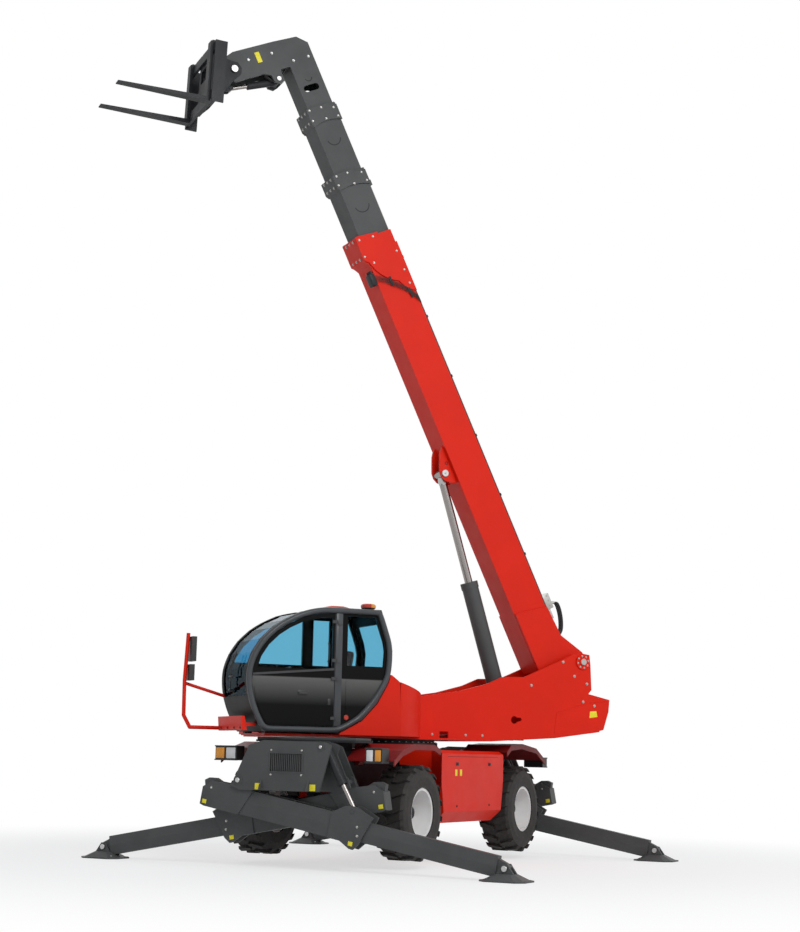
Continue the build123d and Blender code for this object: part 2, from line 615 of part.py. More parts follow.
def turret_frame():
    """Two tall plates on a base plate, with the boom's pin across their tops."""
    whole = slab_z(BASE_PLAN, *BASE_Z)
    for side in (-1, 1):
        inner, outer = side * (PLATE_X - PLATE_WALL), side * PLATE_X
        whole = whole + slab_x(SIDE_PLATE, min(inner, outer), max(inner, outer))
        boss = rod((side * (PLATE_X - PLATE_WALL), *PIVOT), (side * (PLATE_X + 22), *PIVOT), 105)
        lug = slab_x(LIFT_LUG, min(side * (LUG_IN + 12), side * (LUG_IN + 52)),
                     max(side * (LUG_IN + 12), side * (LUG_IN + 52)))
        stub = rod((side * LUG_IN, *LIFT_FOOT), (side * (LUG_IN + 70), *LIFT_FOOT), 45)
        whole = joined(whole, boss, lug, stub)
    floor = slab_x([(1250, 1578), (1300, 1576), (2265, 1640), (2983, 1740), (2983, 1765),
                    (2265, 1665), (1300, 1600), (1250, 1600)], -PLATE_X + 1, PLATE_X - 1)
    sill = block(-PLATE_X + 1, PLATE_X - 1, -420, -390, 1599, 1660)
    pin = rod((-PLATE_X - 30, *PIVOT), (PLATE_X + 30, *PIVOT), PIVOT_PIN_R)
    hinge = rod((HOOD_HINGE[0], -40, HOOD_HINGE[1]), (HOOD_HINGE[0], 1190, HOOD_HINGE[1]), 10)
    whole = joined(whole, floor, sill, pin, hinge)
    tail = slab_x([(2983, 1756), (3047, 1772), (3129, 2023), (3145, 2190), (3129, 2190),
                   (3112, 2030), (3034, 1790), (2983, 1778)], -PLATE_X + 1, PLATE_X - 1)
    access = joined(rod((-500, 1640, 1872), (500, 1640, 1872), 52), slab_x([(1640, 1840), (1740, 1858), (1758, 1884),
                    (1735, 1906), (1640, 1910)], -500, 500))
    notch = block(-500, 500, 510, 640, BASE_Z[1] + 2, 1692)
    whole = whole + tail - (access & (block(-500, -300, 0, 3000, 0, 3000) + block(300, 500, 0, 3000, 0, 3000)))
    whole = whole - (notch - block(-300, 300, 0, 3000, 0, 3000))
    for y in (0, 560, 1120):
        whole = whole + block(-PLATE_X - 60, -PLATE_X + 2, y - 20, y + 20, HOOD_HINGE[1] - 60, HOOD_HINGE[1] + 10)
    return whole


HOOD_HINGE = (-440.0, 2160.0)
TAIL_WEIGHT = (
    (2250, 1690), (2960, 1790), (3022, 1800), (3098, 2034), (3112, 2176), (2900, 2220), (2880, 2030), (2250, 2010),
)


def hood():
    """Hood over the engine, hinged along its inner top edge, with louvres down its side."""
    x0, x1 = POD_X
    outer = block(x0, x1 - 30, *POD_Y, 1605, POD_TOP)
    inner = block(x0 + POD_WALL, x1 + 1, POD_Y[0] + POD_WALL, POD_Y[1] - POD_WALL, 1604, POD_TOP - POD_WALL)
    shell = outer - inner
    chamfer = slab_y([(x0 - 1, POD_TOP - 160), (x0 - 1, POD_TOP + 1), (x0 + 160, POD_TOP + 1)], POD_Y[0] - 1, POD_Y[1] + 1)
    patch = slab_y([(x0 + 1, POD_TOP - 200), (x0 + 1, POD_TOP - 160), (x0 + 160, POD_TOP - 1),
                    (x0 + 210, POD_TOP - 1), (x0 + 210, POD_TOP - 26)], *POD_Y)
    shell = (shell + patch) - chamfer
    slots = [block(x0 - 1, x0 + POD_WALL + 1, y, y + 620, z, z + 18)
             for y in (-1500, -700, 300) for z in range(1700, 1900, 40)]
    lugs = [block(HOOD_HINGE[0] - 22, HOOD_HINGE[0] + 18, y - 30, y + 30, POD_TOP - 20, HOOD_HINGE[1] + 18)
            for y in (60, 500, 1060)]
    whole = joined(shell, *lugs)
    for slot in slots:
        whole = whole - slot
    return whole - rod((HOOD_HINGE[0], -100, HOOD_HINGE[1]), (HOOD_HINGE[0], 1300, HOOD_HINGE[1]), 10 + PIN_FIT)


add("turret_frame", turret_frame())
add("counterweight", slab_x(TAIL_WEIGHT, -PLATE_X + PLATE_WALL + RUNNING, PLATE_X - PLATE_WALL - RUNNING))
add("engine_hood", hood())
add("engine_block", block(-1150, -560, -1300, 700, BASE_Z[1] + RUNNING, 2025))


# ---- Cab ---------------------------------------------------------------------------------
CAB_PROFILE = (
    (-1320, 1620), (-994, 1789), (-790, 2004), (-647, 2258), (-608, 2394), (-592, 2667),
    (-618, 2801), (-708, 3050), (-755, 3180), (-1365, 3180), (-1592, 3167), (-1837, 3107),
    (-2037, 3010), (-2194, 2907), (-2349, 2758), (-2461, 2585), (-2524, 2396), (-2531, 2209),
    (-2500, 2025), (-2434, 1841), (-2308, 1620),
)
WINDSCREEN = (370, 1190, -2700, -1500, 2050, 3300)
REAR_PANE = (400, 1160, -900, -500, 2420, 3010)
DOOR_HINGE = (1266.0, -1350.0)
FAR_PANES = ((-2700.0, -1465.0), (-1320.0, -1090.0), (-970.0, -500.0))


def cab_prism(inset, x0, x1):
    """The cab's side outline, moved inwards, between two planes across the vehicle."""
    face = outline(CAB_PROFILE)
    if inset:
        face = offset(face, amount=-inset, kind=Kind.INTERSECTION)
    return extrude(Plane.YZ.offset(x0) * face, x1 - x0)


def side_pane(x0, x1, inset, y0, y1, z0, gap=0.0):
    """A side window: inside the outline by inset, above a sill."""
    return cab_prism(inset + gap, x0, x1) & block(x0, x1, y0 + gap, y1 - gap, z0 + gap, 3300)


def shrunk(box, gap):
    """A box given by its limits, smaller by a gap all round."""
    x0, x1, y0, y1, z0, z1 = box
    return block(x0 + gap, x1 - gap, y0 + gap, y1 - gap, z0 + gap, z1 - gap)


def cab_frame():
    """Hollow cab: ring frames each side, roof, floor, back and the panels between."""
    x0, x1 = CAB_X
    body = cab_prism(0, x0, x1) - cab_prism(CAB_SKIN + 5, x0 + CAB_SKIN, x1 - CAB_SKIN)
    body = body - block(*WINDSCREEN) - block(*REAR_PANE)
    for y0, y1 in FAR_PANES:
        body = body - side_pane(x0 - 1, x0 + CAB_SKIN + 1, 100, y0, y1, SILL_Z + 90)
    door_way = cab_prism(CAB_RING, x1 - CAB_SKIN - 1, x1 + 1) & block(x1 - 60, x1 + 1, -2700, PILLAR_Y - PILLAR_W / 2, 1500, 3300)
    body = body - door_way
    body = body - side_pane(x1 - CAB_SKIN - 1, x1 + 1, 100, PILLAR_Y + PILLAR_W / 2 + 30, -500, SILL_Z + 60)
    lower = cab_prism(80, x1 - 1, x1 + 6) & block(x1 - 2, x1 + 20, PILLAR_Y + PILLAR_W / 2 + 20, -500, 1500, 2280)
    body = body + lower
    edge = cab_prism(0, x1 - 1, x1 + 14) - cab_prism(CAB_RING - 14, x1 - 2, x1 + 15)
    body = body + edge
    feet = [block(x, x + 90, y, y + 90, BASE_Z[1] + RUNNING, 1640) for x in (340, 1080) for y in (-2240, -1440)]
    body = joined(body, *feet)
    for z in HINGE_LEVELS:
        body = joined(body, block(x1 - 1, DOOR_HINGE[0] + 6, DOOR_HINGE[1] + 6, DOOR_HINGE[1] + 60, z - 44, z - 24),
                      block(DOOR_HINGE[0] - 9, DOOR_HINGE[0] + 9, DOOR_HINGE[1] - 6, DOOR_HINGE[1] + 20, z - 44, z - 24),
                      rod((*DOOR_HINGE, z - 44), (*DOOR_HINGE, z + 24), 7))
    return body


HINGE_LEVELS = (1800.0, 2290.0, 2515.0, 3000.0)


def cab_door():
    """Door inside the near ring: lower panel, window frame, handle and hinge eyes."""
    x0, x1 = CAB_X[1] - CAB_SKIN, CAB_X[1]
    limits = block(x0 - 1, x1 + 1, -2700, DOOR_HINGE[1] - 3, 1500, 3300)
    slab = cab_prism(CAB_RING + 6, x0, x1) & limits
    slab = slab - door_pane(x0 - 1, x1 + 1, 0)
    handle = joined(block(x1 - 1, x1 + 34, -1850, -1832, 2090, 2112), block(x1 - 1, x1 + 34, -1758, -1740, 2090, 2112),
                    block(x1 + 20, x1 + 34, -1850, -1740, 2090, 2112))
    rail = slab_x([(-2700, 2276), (-1374, 2394), (-1374, 2422), (-2700, 2304)], x1 - 1, x1 + 10)
    panel = slab_x([(-2700, 2140), (-1374, 2250), (-1374, 1500), (-2700, 1500)], x1 - 1, x1 + 6)
    raised = (rail + (panel & cab_prism(CAB_RING + 26, x1 - 2, x1 + 20))) & cab_prism(CAB_RING + 6, x1 - 2, x1 + 20)
    raised = raised & block(x1 - 2, x1 + 20, -2700, DOOR_HINGE[1] - 24, 1500, 3300)
    whole = joined(slab, handle, *raised.solids())
    for z in HINGE_LEVELS:
        whole = joined(whole, block(x1 - 1, DOOR_HINGE[0] + 6, DOOR_HINGE[1] - 70, DOOR_HINGE[1] - 6, z - 20, z + 20),
                       rod((*DOOR_HINGE, z - 20), (*DOOR_HINGE, z + 20), 15))
        whole = whole - rod((*DOOR_HINGE, z - 30), (*DOOR_HINGE, z + 30), 7 + PIN_FIT)
    return whole


def door_pane(x0, x1, gap):
    """The window of the door."""
    return cab_prism(CAB_RING + 56 + gap, x0, x1) & block(x0, x1, -2700, PILLAR_Y - PILLAR_W / 2 - 60 - gap, SILL_Z + gap, 3300)


def cab_panes():
    """Windscreen, rear pane and the two fixed side panes."""
    x0, x1 = CAB_X
    curve = cab_prism(14, x0 + 50, x1 - 50) - cab_prism(14 + GLASS_T, x0 + 40, x1 - 40)
    return [
        curve & shrunk(WINDSCREEN, RUNNING),
        curve & shrunk(REAR_PANE, RUNNING),
        *[side_pane(x0 + 17, x0 + 17 + GLASS_T, 100, y0, y1, SILL_Z + 90, RUNNING) for y0, y1 in FAR_PANES],
        side_pane(x1 - 17 - GLASS_T, x1 - 17, 100, PILLAR_Y + PILLAR_W / 2 + 30, -500, SILL_Z + 60, RUNNING),
    ]


CAB_FLOOR = 1620.0 + CAB_SKIN + 5 + RUNNING
FAIRING = ((-1290, 1600.3), (-444, 1600.3), (-444, 1642), (-472, 2282), (-585, 2366), (-700, 2366), (-1200, 1900))


def cab_fairing():
    """Hollow box behind the cab, following its back with a gap."""
    body = slab_x(FAIRING, 420, CAB_X[1])
    core = slab_x([(-1240, 1590), (-464, 1590), (-491, 2270), (-590, 2340), (-1100, 2340)], 445, CAB_X[1] - 25)
    outer = offset(outline(CAB_PROFILE), amount=16, kind=Kind.INTERSECTION)
    wall = offset(outline(CAB_PROFILE), amount=36, kind=Kind.INTERSECTION)
    clear = extrude(Plane.YZ.offset(200) * outer, 1200)
    keep = extrude(Plane.YZ.offset(200) * wall, 1200)
    return joined((body - clear) - (core - keep), fairing_return())


def fairing_return():
    """Hollow corner piece whose curved back runs in from the fairing to the turret's plate."""
    inner_x = PLATE_X + RUNNING
    plan = [(inner_x, -460, 0), (CAB_X[1], -460, 0), (CAB_X[1], -444, -150), (inner_x + 20, 133, 0), (inner_x, 133, 0)]
    face = bowed(plan)
    solid = extrude(Plane.XY.offset(BASE_Z[1] + RUNNING) * face, 700)
    core = extrude(Plane.XY.offset(BASE_Z[1] - 10) * offset(face, amount=-18, kind=Kind.INTERSECTION), 470)
    above = slab_x([(-500, 2282), (-472, 2282), (140, 2132), (140, 2400), (-500, 2400)], 300, 1300)
    return solid - above - core


def seat():
    """Driver's seat: box, cushion and back rest with head rest."""
    return [
        block(620, 940, -1660, -1360, CAB_FLOOR, 1990),
        block(540, 1020, -1690, -1180, 1990 + RUNNING, 2100),
        slab_x([(-1190, 2100 + RUNNING), (-1060, 2100 + RUNNING), (-960, 2700), (-1060, 2700)], 560, 1000),
    ]


def tube_line(points, radius):
    """Round tube through points, with ball corners."""
    parts = [rod(a, b, radius) for a, b in zip(points, points[1:])]
    parts += [Pos(*p) * Sphere(radius) for p in points[1:-1]]
    return joined(*parts)


GUARD_X = 333.0
MIRROR_TUBE = ((-2470, 1660), (-2942, 1660), (-3027, 1807), (-3033, 2242), (-3006, 2834))


def cab_guards():
    """Bumper plate below the windscreen and the tube frame that carries the mirrors."""
    bumper = slab_x([(-2500, 1626), (-2560, 1626), (-2575, 1800), (-2535, 1800)], GUARD_X, CAB_X[1])
    arms = [block(x, x + 60, -2520, -2360, 1680, 1720) for x in (420, 1100)]
    frame = tube_line([(GUARD_X, y, z) for y, z in MIRROR_TUBE], 24)
    strut = rod((GUARD_X, -3030, 2206), (GUARD_X, -2500, 2060), 20)
    clear = cab_prism(0, CAB_X[0] - 60, CAB_X[1] + 10)
    grown = extrude(Plane.YZ.offset(200) * offset(outline(CAB_PROFILE), amount=RUNNING, kind=Kind.INTERSECTION), 1200)
    return joined(bumper, *arms, frame, strut) - grown - clear


def cab_trim():
    """Dashboard, steering column and wheel, side console with lever, mirror heads."""
    wheel_at = Pos(780, -1960, 2330) * Rot(32, 0, 0)
    wheel = joined(Torus(185, 14), Cylinder(45, 40), Box(350, 26, 12), Box(26, 350, 12))
    column = rod((780, -2160, CAB_FLOOR + 50), (780, -1960, 2330), 32)
    dash = joined(slab_x([(-2235, CAB_FLOOR), (-2130, CAB_FLOOR), (-2110, 2100), (-2340, 2100), (-2370, 1960)], 600, 960), wheel_at * wheel, column)
    console = joined(block(400, 510, -1900, -1360, CAB_FLOOR, 2140), rod((455, -1760, 2139), (455, -1770, 2290), 14),
                     Pos(455, -1770, 2290) * Sphere(26))
    heads = []
    for z0, z1 in ((2480, 2790), (2240, 2440)):
        y0 = -3033 + (z1 - 2242) * 27 / 592
        heads.append(block(GUARD_X - 90, GUARD_X + 110, y0 + 24.6, y0 + 84, z0, z1))
    return [dash, console, *heads]


add("cab_frame", cab_frame())
add("cab_door", cab_door())
add("door_glass", door_pane(CAB_X[1] - 17 - GLASS_T, CAB_X[1] - 17, RUNNING))
add("cab_glass", *cab_panes())
add("cab_fairing", cab_fairing())
add("cab_seat", *seat())
add("cab_trim", *cab_trim())
add("cab_guards", cab_guards())
add("cab_lamps", rod((1100, -870, 3180 + RUNNING), (1100, -870, 3268), 100),
    block(1040, 1160, -1460, -1180, 3180 + RUNNING, 3212))


# ---- Boom, built level along -Y from its pivot, then raised -------------------------------
def level(points):
    """Points along and square to the boom, as (y, z)."""
    return [(-e, n) for e, n in points]


def raise_boom(shape):
    """Turns a level boom piece to the boom's angle at the pivot."""
    return Pos(0, *PIVOT) * Rot(-BOOM_ANGLE, 0, 0) * shape


def tube_section(e0, e1, low, high, width, wall):
    """Rectangular boom tube, open at both ends."""
    half = width / 2
    outer = block(-half, half, -e1, -e0, low, high)
    return outer - block(-half + wall, half - wall, -e1 - 1, -e0 + 1, low + wall, high - wall)


def wear_pads(e0, e1, low, high, width, gap):
    """Pads under, over and beside the next section, short of it by the running gap."""
    half = width / 2
    t = gap - RUNNING
    return [block(-half + 60, half - 60, -e1, -e0, low, low + t), block(-half + 60, half - 60, -e1, -e0, high - t, high),
            block(-half, -half + t, -e1, -e0, low + 60, high - 60), block(half - t, half, -e1, -e0, low + 60, high - 60)]


COLLARS = (
    # side plate outline of the collar at each section's outer end, with the bow of each edge
    ((6670, -660, 0), (6660, -688, 0), (6330, -688, 0), (6270, -622, 60), (5900, -300, 30), (5690, -98, 0), (6430, -98, -70),
     (6640, -330, 0)),
    ((7580, -610, 0), (7570, -636, 0), (7390, -636, 0), (7345, -604, -40), (7312, -118, 0), (7530, -118, -30), (7580, -330, 0)),
    ((8560, -590, 0), (8550, -612, 0), (8340, -612, 0), (8290, -586, -45), (8290, -136, 0), (8520, -136, -20), (8560, -260, 0)),
)
ROOT_CHEEK = ((1000, -616), (150, -616), (-180, -300), (-200, 50), (-80, 150), (100, 130), (450, -80), (900, -112))
LIFT_BRACKET = ((2990, -612), (3020, -700), (3085, -780), (3160, -806), (3235, -800), (3320, -762), (3450, -700), (3560, -612))


def boom_section(index):
    """One boom section with its collar and pads; the first has the root and lift bracket."""
    name, e0, e1, low, high, width, wall = SECTION_TABLE[index]
    half = width / 2
    body = tube_section(max(e0, 120.0) if index == 0 else e0, e1, low, high, width, wall)
    inner_low, inner_high, inner_w = low + wall, high - wall, width - 2 * wall
    if index < 3:
        gap = (inner_w - SECTION_TABLE[index + 1][5]) / 2
        pads = wear_pads(e1 - 200, e1 - 30, inner_low - 1, inner_high + 1, inner_w + 2, gap + 1)
        collar = COLLARS[index]
        for side in (-1, 1):
            a, b = side * (half - 1), side * (half + COLLAR_T)
            plate = bowed([(-e, n, -bow) for e, n, bow in collar])
            body = body + extrude(Plane.YZ.offset(min(a, b)) * plate, abs(b - a))
        foot_low = min(n for e, n, bow in collar)
        foot_in = min(e for e, n, bow in collar if n == foot_low)
        foot_out = max(e for e, n, bow in collar if n == foot_low)
        foot = slab_x([(-foot_out, foot_low), (-foot_in, foot_low), (-foot_in + 1.5 * (low - foot_low), low + 1),
                       (-foot_out, low + 1)], -half, half)
        cap = block(-half, half, -min(foot_out, e1), -foot_in, high - 1, high + 12 if index else high + 1)
        body = joined(body, *pads, foot, cap)
    if index:
        outer = SECTION_TABLE[index - 1]
        gap = (outer[5] - 2 * outer[6] - width) / 2 - RUNNING
        body = joined(body, block(-half + 60, half - 60, -e0 - 160, -e0 - 10, high - 1, high + gap),
                      block(-half + 60, half - 60, -e0 - 160, -e0 - 10, low - gap, low + 1))
    return body


def boom_root(body):
    """Adds the pivot's cheeks and tube, the lift bracket and the saddles of the extension cylinder."""
    for side in (-1, 1):
        a, b = side * 209, side * 250
        body = body + slab_x(level(ROOT_CHEEK), min(a, b), max(a, b))
        a = side * (LIFT_EYE_W / 2 + 5)
        b = a + side * BRACKET_T
        body = body + slab_x(level(LIFT_BRACKET), min(a, b), max(a, b))
    body = body + rod((-345, 0, 0), (345, 0, 0), 112)
    back = slab_x(level([(150, -616), (-180, -300), (-165, -285), (165, -600)]), -210, 210)
    lid = slab_x(level([(130, -600), (130, -112), (144, -112), (144, -600)]), -209, 209)
    pin = rod((-156, -LIFT_EYE[0], LIFT_EYE[1]), (156, -LIFT_EYE[0], LIFT_EYE[1]), LIFT_PIN_R)
    saddles = [block(-50, 50, -e - 40, -e + 40, -111, EXTEND_N - EXTEND_R - RUNNING) for e in (960, 2700, 4500, 6300)]
    body = joined(body, back, lid, pin, *saddles)
    return body - rod((-400, 0, 0), (400, 0, 0), PIVOT_PIN_R + PIN_FIT)


JIB = (
    (9200, -164), (9460, -164), (9580, -300), (9600, -660), (9612, -1300), (9560, -1480), (9430, -1560),
    (9290, -1530), (9205, -1420), (9205, -980), (9160, -885), (9060, -870), (9015, -800), (9035, -722), (9200, -722),
)
TILT_PIN = (9085.0, -795.0)
TILT_ARM = 220.0


def jib():
    """Fork-shaped head: two cheeks under a bent top plate, with the carriage's and cylinder's pins."""
    cheeks = [slab_x(level(JIB), a, b) for a, b in ((-156, -120), (120, 156))]
    top = slab_x(level([(9200, -164), (9460, -164), (9580, -300), (9600, -660), (9612, -1250),
                        (9592, -1250), (9582, -664), (9562, -308), (9450, -182), (9200, -182)]), -156, 156)
    under = slab_x(level([(9200, -560), (9200, -722), (9035, -722), (9033, -728), (9218, -728), (9218, -560)]), -156, 156)
    web = slab_x(level([(9290, -180), (9290, -560), (9308, -560), (9308, -180)]), -130, 130)
    pivots = [rod((x0, -CARRIAGE_PIVOT[0], CARRIAGE_PIVOT[1]), (x1, -CARRIAGE_PIVOT[0], CARRIAGE_PIVOT[1]), CARRIAGE_PIN_R)
              for x0, x1 in ((-205, -110), (110, 205))]
    pin = rod((-157, -TILT_PIN[0], TILT_PIN[1]), (157, -TILT_PIN[0], TILT_PIN[1]), 25)
    return joined(*cheeks, top, under, web, *pivots, pin)


for index, row in enumerate(SECTION_TABLE):
    section = boom_section(index)
    if index == 0:
        section = boom_root(section)
    if index == 1:
        section = section + block(-45, 45, -7390, -7310, -119, -12)
    if index == 3:
        slot = SlotCenterToCenter(150, 92)
        hole = extrude(Plane.YZ.offset(-200) * (Pos(-8840, -380) * Rot(0, 0, 90) * slot), 400)
        section = joined(section - hole, jib())
    add(row[0], raise_boom(section))
barrel = rod((0, -900, EXTEND_N), (0, -6450, EXTEND_N), EXTEND_R) - rod((0, -1000, EXTEND_N), (0, -6451, EXTEND_N), 28 + PIN_FIT)
add("extension_barrel", raise_boom(barrel))
add("extension_rod", raise_boom(rod((0, -1650, EXTEND_N), (0, -7310 + RUNNING, EXTEND_N), 28)))


# ---- Cylinders of the boom and of the carriage ---------------------------------------------
def at_boom(e, n):
    """World (y, z) of a point on the boom."""
    t = radians(BOOM_ANGLE)
    return PIVOT[0] - e * cos(t) + n * sin(t), PIVOT[1] + e * sin(t) + n * cos(t)


def lay(shape, start, end):
    """Lays a shape made along -Y from the origin between two (y, z) points."""
    angle = degrees(atan2(end[1] - start[1], -(end[0] - start[0])))
    return Pos(0, *start) * Rot(-angle, 0, 0) * shape


lift_eye = at_boom(*LIFT_EYE)
LIFT_LEN = hypot(LIFT_FOOT[0] - lift_eye[0], LIFT_FOOT[1] - lift_eye[1])


def lift_rod():
    """Chrome rod hanging from the boom's bracket."""
    body = joined(rod((0, -60, 0), (0, -LIFT_ROD_L, 0), LIFT_ROD_R), rod((-LIFT_EYE_W / 2, 0, 0), (LIFT_EYE_W / 2, 0, 0), LIFT_EYE_R))
    return body - rod((-120, 0, 0), (120, 0, 0), LIFT_PIN_R + PIN_FIT)


def lift_barrel():
    """Barrel sliding on the rod, its foot standing open between the turret's stub pins."""
    top = LIFT_LEN - LIFT_BARREL_L - 50
    body = joined(rod((0, -top, 0), (0, -LIFT_LEN + 60, 0), LIFT_BARREL_R),
                  rod((0, -top, 0), (0, -top - 90, 0), LIFT_BARREL_R + 8) & block(-115, 115, -5000, 0, -200, 200),
                  rod((-115, -LIFT_LEN, 0), (115, -LIFT_LEN, 0), 95))
    return body - rod((0, -top + 1, 0), (0, -LIFT_LEN + LIFT_FOOT_L, 0), LIFT_ROD_R + PIN_FIT)


add("lift_rod", lay(lift_rod(), lift_eye, LIFT_FOOT))
add("lift_barrel", lay(lift_barrel(), lift_eye, LIFT_FOOT))

pivot_y, pivot_z = at_boom(*CARRIAGE_PIVOT)


def tilted(shape):
    """Turns a piece of the upright carriage about its pivot."""
    return Pos(0, pivot_y, pivot_z) * Rot(-CARRIAGE_TILT, 0, 0) * Pos(0, -pivot_y, -pivot_z) * shape


def carriage():
    """Fork carriage: side plates, bars, pivot lugs and the lugs of the tilt cylinder."""
    front, back, low, high = -3055, -2890, 9830, 10690
    whole = joined(block(-600, 600, front, front + 40, high - 130, high), block(-600, 600, front, front + 40, low + 30, low + 170))
    for side in (-1, 1):
        a, b = side * 575, side * 600
        whole = whole + block(min(a, b), max(a, b), front, back, low, high)
        a, b = side * 162, side * 190
        lug = slab_x([(front + 39, low + 30), (front + 39, high), (pivot_y - 40, pivot_z + 110), (pivot_y + 40, pivot_z + 110),
                      (pivot_y + 105, pivot_z + 40), (pivot_y + 105, pivot_z - 40), (pivot_y + 40, pivot_z - 110),
                      (front + 200, low + 200)], min(a, b), max(a, b))
        whole = whole + lug
        a, b = side * 34, side * 58
        ear = slab_x([(front + 60, pivot_z - 350), (front + 60, pivot_z - 120), (pivot_y, pivot_z - TILT_ARM + 52),
                      (pivot_y + 50, pivot_z - TILT_ARM), (pivot_y, pivot_z - TILT_ARM - 52)], min(a, b), max(a, b))
        whole = whole + ear
    web = block(-190, 190, front + 39, front + 80, low + 60, high - 60)
    sight = block(-110, 110, front + 38, front + 81, high - 380, high - 190)
    whole = joined(whole, web - sight)
    for x in (-530.0, -300.0, 0.0, 300.0, 530.0):
        whole = whole - block(x - 14, x + 14, front - 1, front + 41, high - 18, high + 1)
    for near, far in ((-64, -TILT_EYE_W / 2 - EYE_FIT), (TILT_EYE_W / 2 + EYE_FIT, 64)):
        whole = whole + rod((near, pivot_y, pivot_z - TILT_ARM), (far, pivot_y, pivot_z - TILT_ARM), TILT_EYE_PIN_R)
    return whole - rod((-220, pivot_y, pivot_z), (220, pivot_y, pivot_z), CARRIAGE_PIN_R + PIN_FIT)


def fork(side):
    """One fork: shank in front of the bars with a hook, and tapered blade."""
    front = -3055 - RUNNING
    a, b = side * (FORK_X - 62), side * (FORK_X + 62)
    profile = [(front, FORK_Z), (front, 10700), (front - 42, 10700), (front - 42, FORK_Z + 60),
               (front - 42 - FORK_L, FORK_Z + 14), (front - 42 - FORK_L, FORK_Z + 2), (front - 20, FORK_Z)]
    hook = block(min(a, b), max(a, b), front - 20, front + 30, 10690 + RUNNING, 10714)
    return joined(slab_x(profile, min(a, b), max(a, b)), hook)


add("carriage", tilted(carriage()))
add("forks", tilted(fork(1)), tilted(fork(-1)))
tilt_pin = at_boom(*TILT_PIN)
t = radians(CARRIAGE_TILT)
tilt_eye = (pivot_y - TILT_ARM * sin(t), pivot_z - TILT_ARM * cos(t))
TILT_LEN = hypot(tilt_eye[0] - tilt_pin[0], tilt_eye[1] - tilt_pin[1])
tilt_barrel = joined(rod((0, -40, 0), (0, -430, 0), 48), rod((-60, 0, 0), (60, 0, 0), 48))
tilt_barrel = tilt_barrel - rod((0, -90, 0), (0, -431, 0), 26 + PIN_FIT) - rod((-70, 0, 0), (70, 0, 0), 25 + PIN_FIT)
tilt_rod = joined(rod((0, -170, 0), (0, -TILT_LEN + 20, 0), 26), rod((-TILT_EYE_W / 2, -TILT_LEN, 0), (TILT_EYE_W / 2, -TILT_LEN, 0), TILT_EYE_R))
tilt_rod = tilt_rod - rod((-40, -TILT_LEN, 0), (40, -TILT_LEN, 0), TILT_EYE_PIN_R + 2)
add("tilt_barrel", lay(tilt_barrel, tilt_pin, tilt_eye))
add("tilt_rod", lay(tilt_rod, tilt_pin, tilt_eye))


# ---- Origin to the middle of the footprint, then one file a node ---------------------------
boxes = [shape.bounding_box() for solids in nodes.values() for shape in solids]
ORIGIN = (
    (min(box.min.X for box in boxes) + max(box.max.X for box in boxes)) / 2,
    (min(box.min.Y for box in boxes) + max(box.max.Y for box in boxes)) / 2,
    min(box.min.Z for box in boxes),
)
os.makedirs("parts", exist_ok=True)
for name, solids in nodes.items():
    moved = [Pos(-ORIGIN[0], -ORIGIN[1], -ORIGIN[2]) * solid for solid in solids]
    export_step(Compound(children=moved) if len(moved) > 1 else moved[0], "parts/" + name + ".step")
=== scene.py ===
import math

import bmesh
import bpy
from mathutils import Matrix, Vector


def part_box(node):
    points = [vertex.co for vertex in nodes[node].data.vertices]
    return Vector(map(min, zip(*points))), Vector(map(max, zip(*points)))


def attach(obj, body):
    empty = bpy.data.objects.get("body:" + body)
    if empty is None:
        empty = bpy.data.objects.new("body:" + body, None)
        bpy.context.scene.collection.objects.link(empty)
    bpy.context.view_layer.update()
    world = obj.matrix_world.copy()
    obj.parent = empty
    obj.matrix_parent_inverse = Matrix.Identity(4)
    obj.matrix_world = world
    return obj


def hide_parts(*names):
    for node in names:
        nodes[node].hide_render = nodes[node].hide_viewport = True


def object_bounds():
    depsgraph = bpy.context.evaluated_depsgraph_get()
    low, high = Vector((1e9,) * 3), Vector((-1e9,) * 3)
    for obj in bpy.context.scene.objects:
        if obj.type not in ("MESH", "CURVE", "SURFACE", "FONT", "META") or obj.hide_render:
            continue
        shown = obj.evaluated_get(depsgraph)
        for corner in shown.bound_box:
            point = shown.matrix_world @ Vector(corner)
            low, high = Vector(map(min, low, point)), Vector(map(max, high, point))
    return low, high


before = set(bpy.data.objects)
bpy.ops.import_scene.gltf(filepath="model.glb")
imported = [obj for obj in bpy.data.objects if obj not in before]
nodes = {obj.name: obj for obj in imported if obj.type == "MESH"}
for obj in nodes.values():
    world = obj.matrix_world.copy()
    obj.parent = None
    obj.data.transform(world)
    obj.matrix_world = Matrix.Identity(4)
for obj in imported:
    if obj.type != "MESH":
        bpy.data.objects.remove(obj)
cad_low, cad_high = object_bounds()

# ---- Places -----------------------------------------------------------------
# Metres. In the upper frame x runs to the machine's left, y to its back and z up, from the ground at the slewing
# axis. The boom's frame starts at its pivot and has the same x, -y along the boom and z square to it.
ring_low, ring_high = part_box("slew_ring")
AXIS = Vector(((ring_low.x + ring_high.x) / 2, (ring_low.y + ring_high.y) / 2, cad_low[2]))
SLEW = math.radians(38.56)      # undercarriage turned under the upper structure
BOOM = math.radians(64.0)       # boom above the horizontal
PIVOT_Y, PIVOT_Z = 2.708, 2.702
LIFT_EYE = (0.0, -3.18, -0.74)  # pin of the lift rod, in the boom's frame
LIFT_FOOT = (0.0, 1.67, 1.94)   # lower pin of the lift cylinder
CAB_SIDE = 1.249                # near side of the cab's panels
WHEELBASE = 3.12
TRACK = 2.06
HUB_Z = 0.673                   # wheel centres, clear of the ground
BEAM_PIN = (-0.671, 0, 1.029)   # hinge of an outrigger beam in its own plane
BEAM_TILT = math.radians(10.3)  # outrigger beam below the horizontal
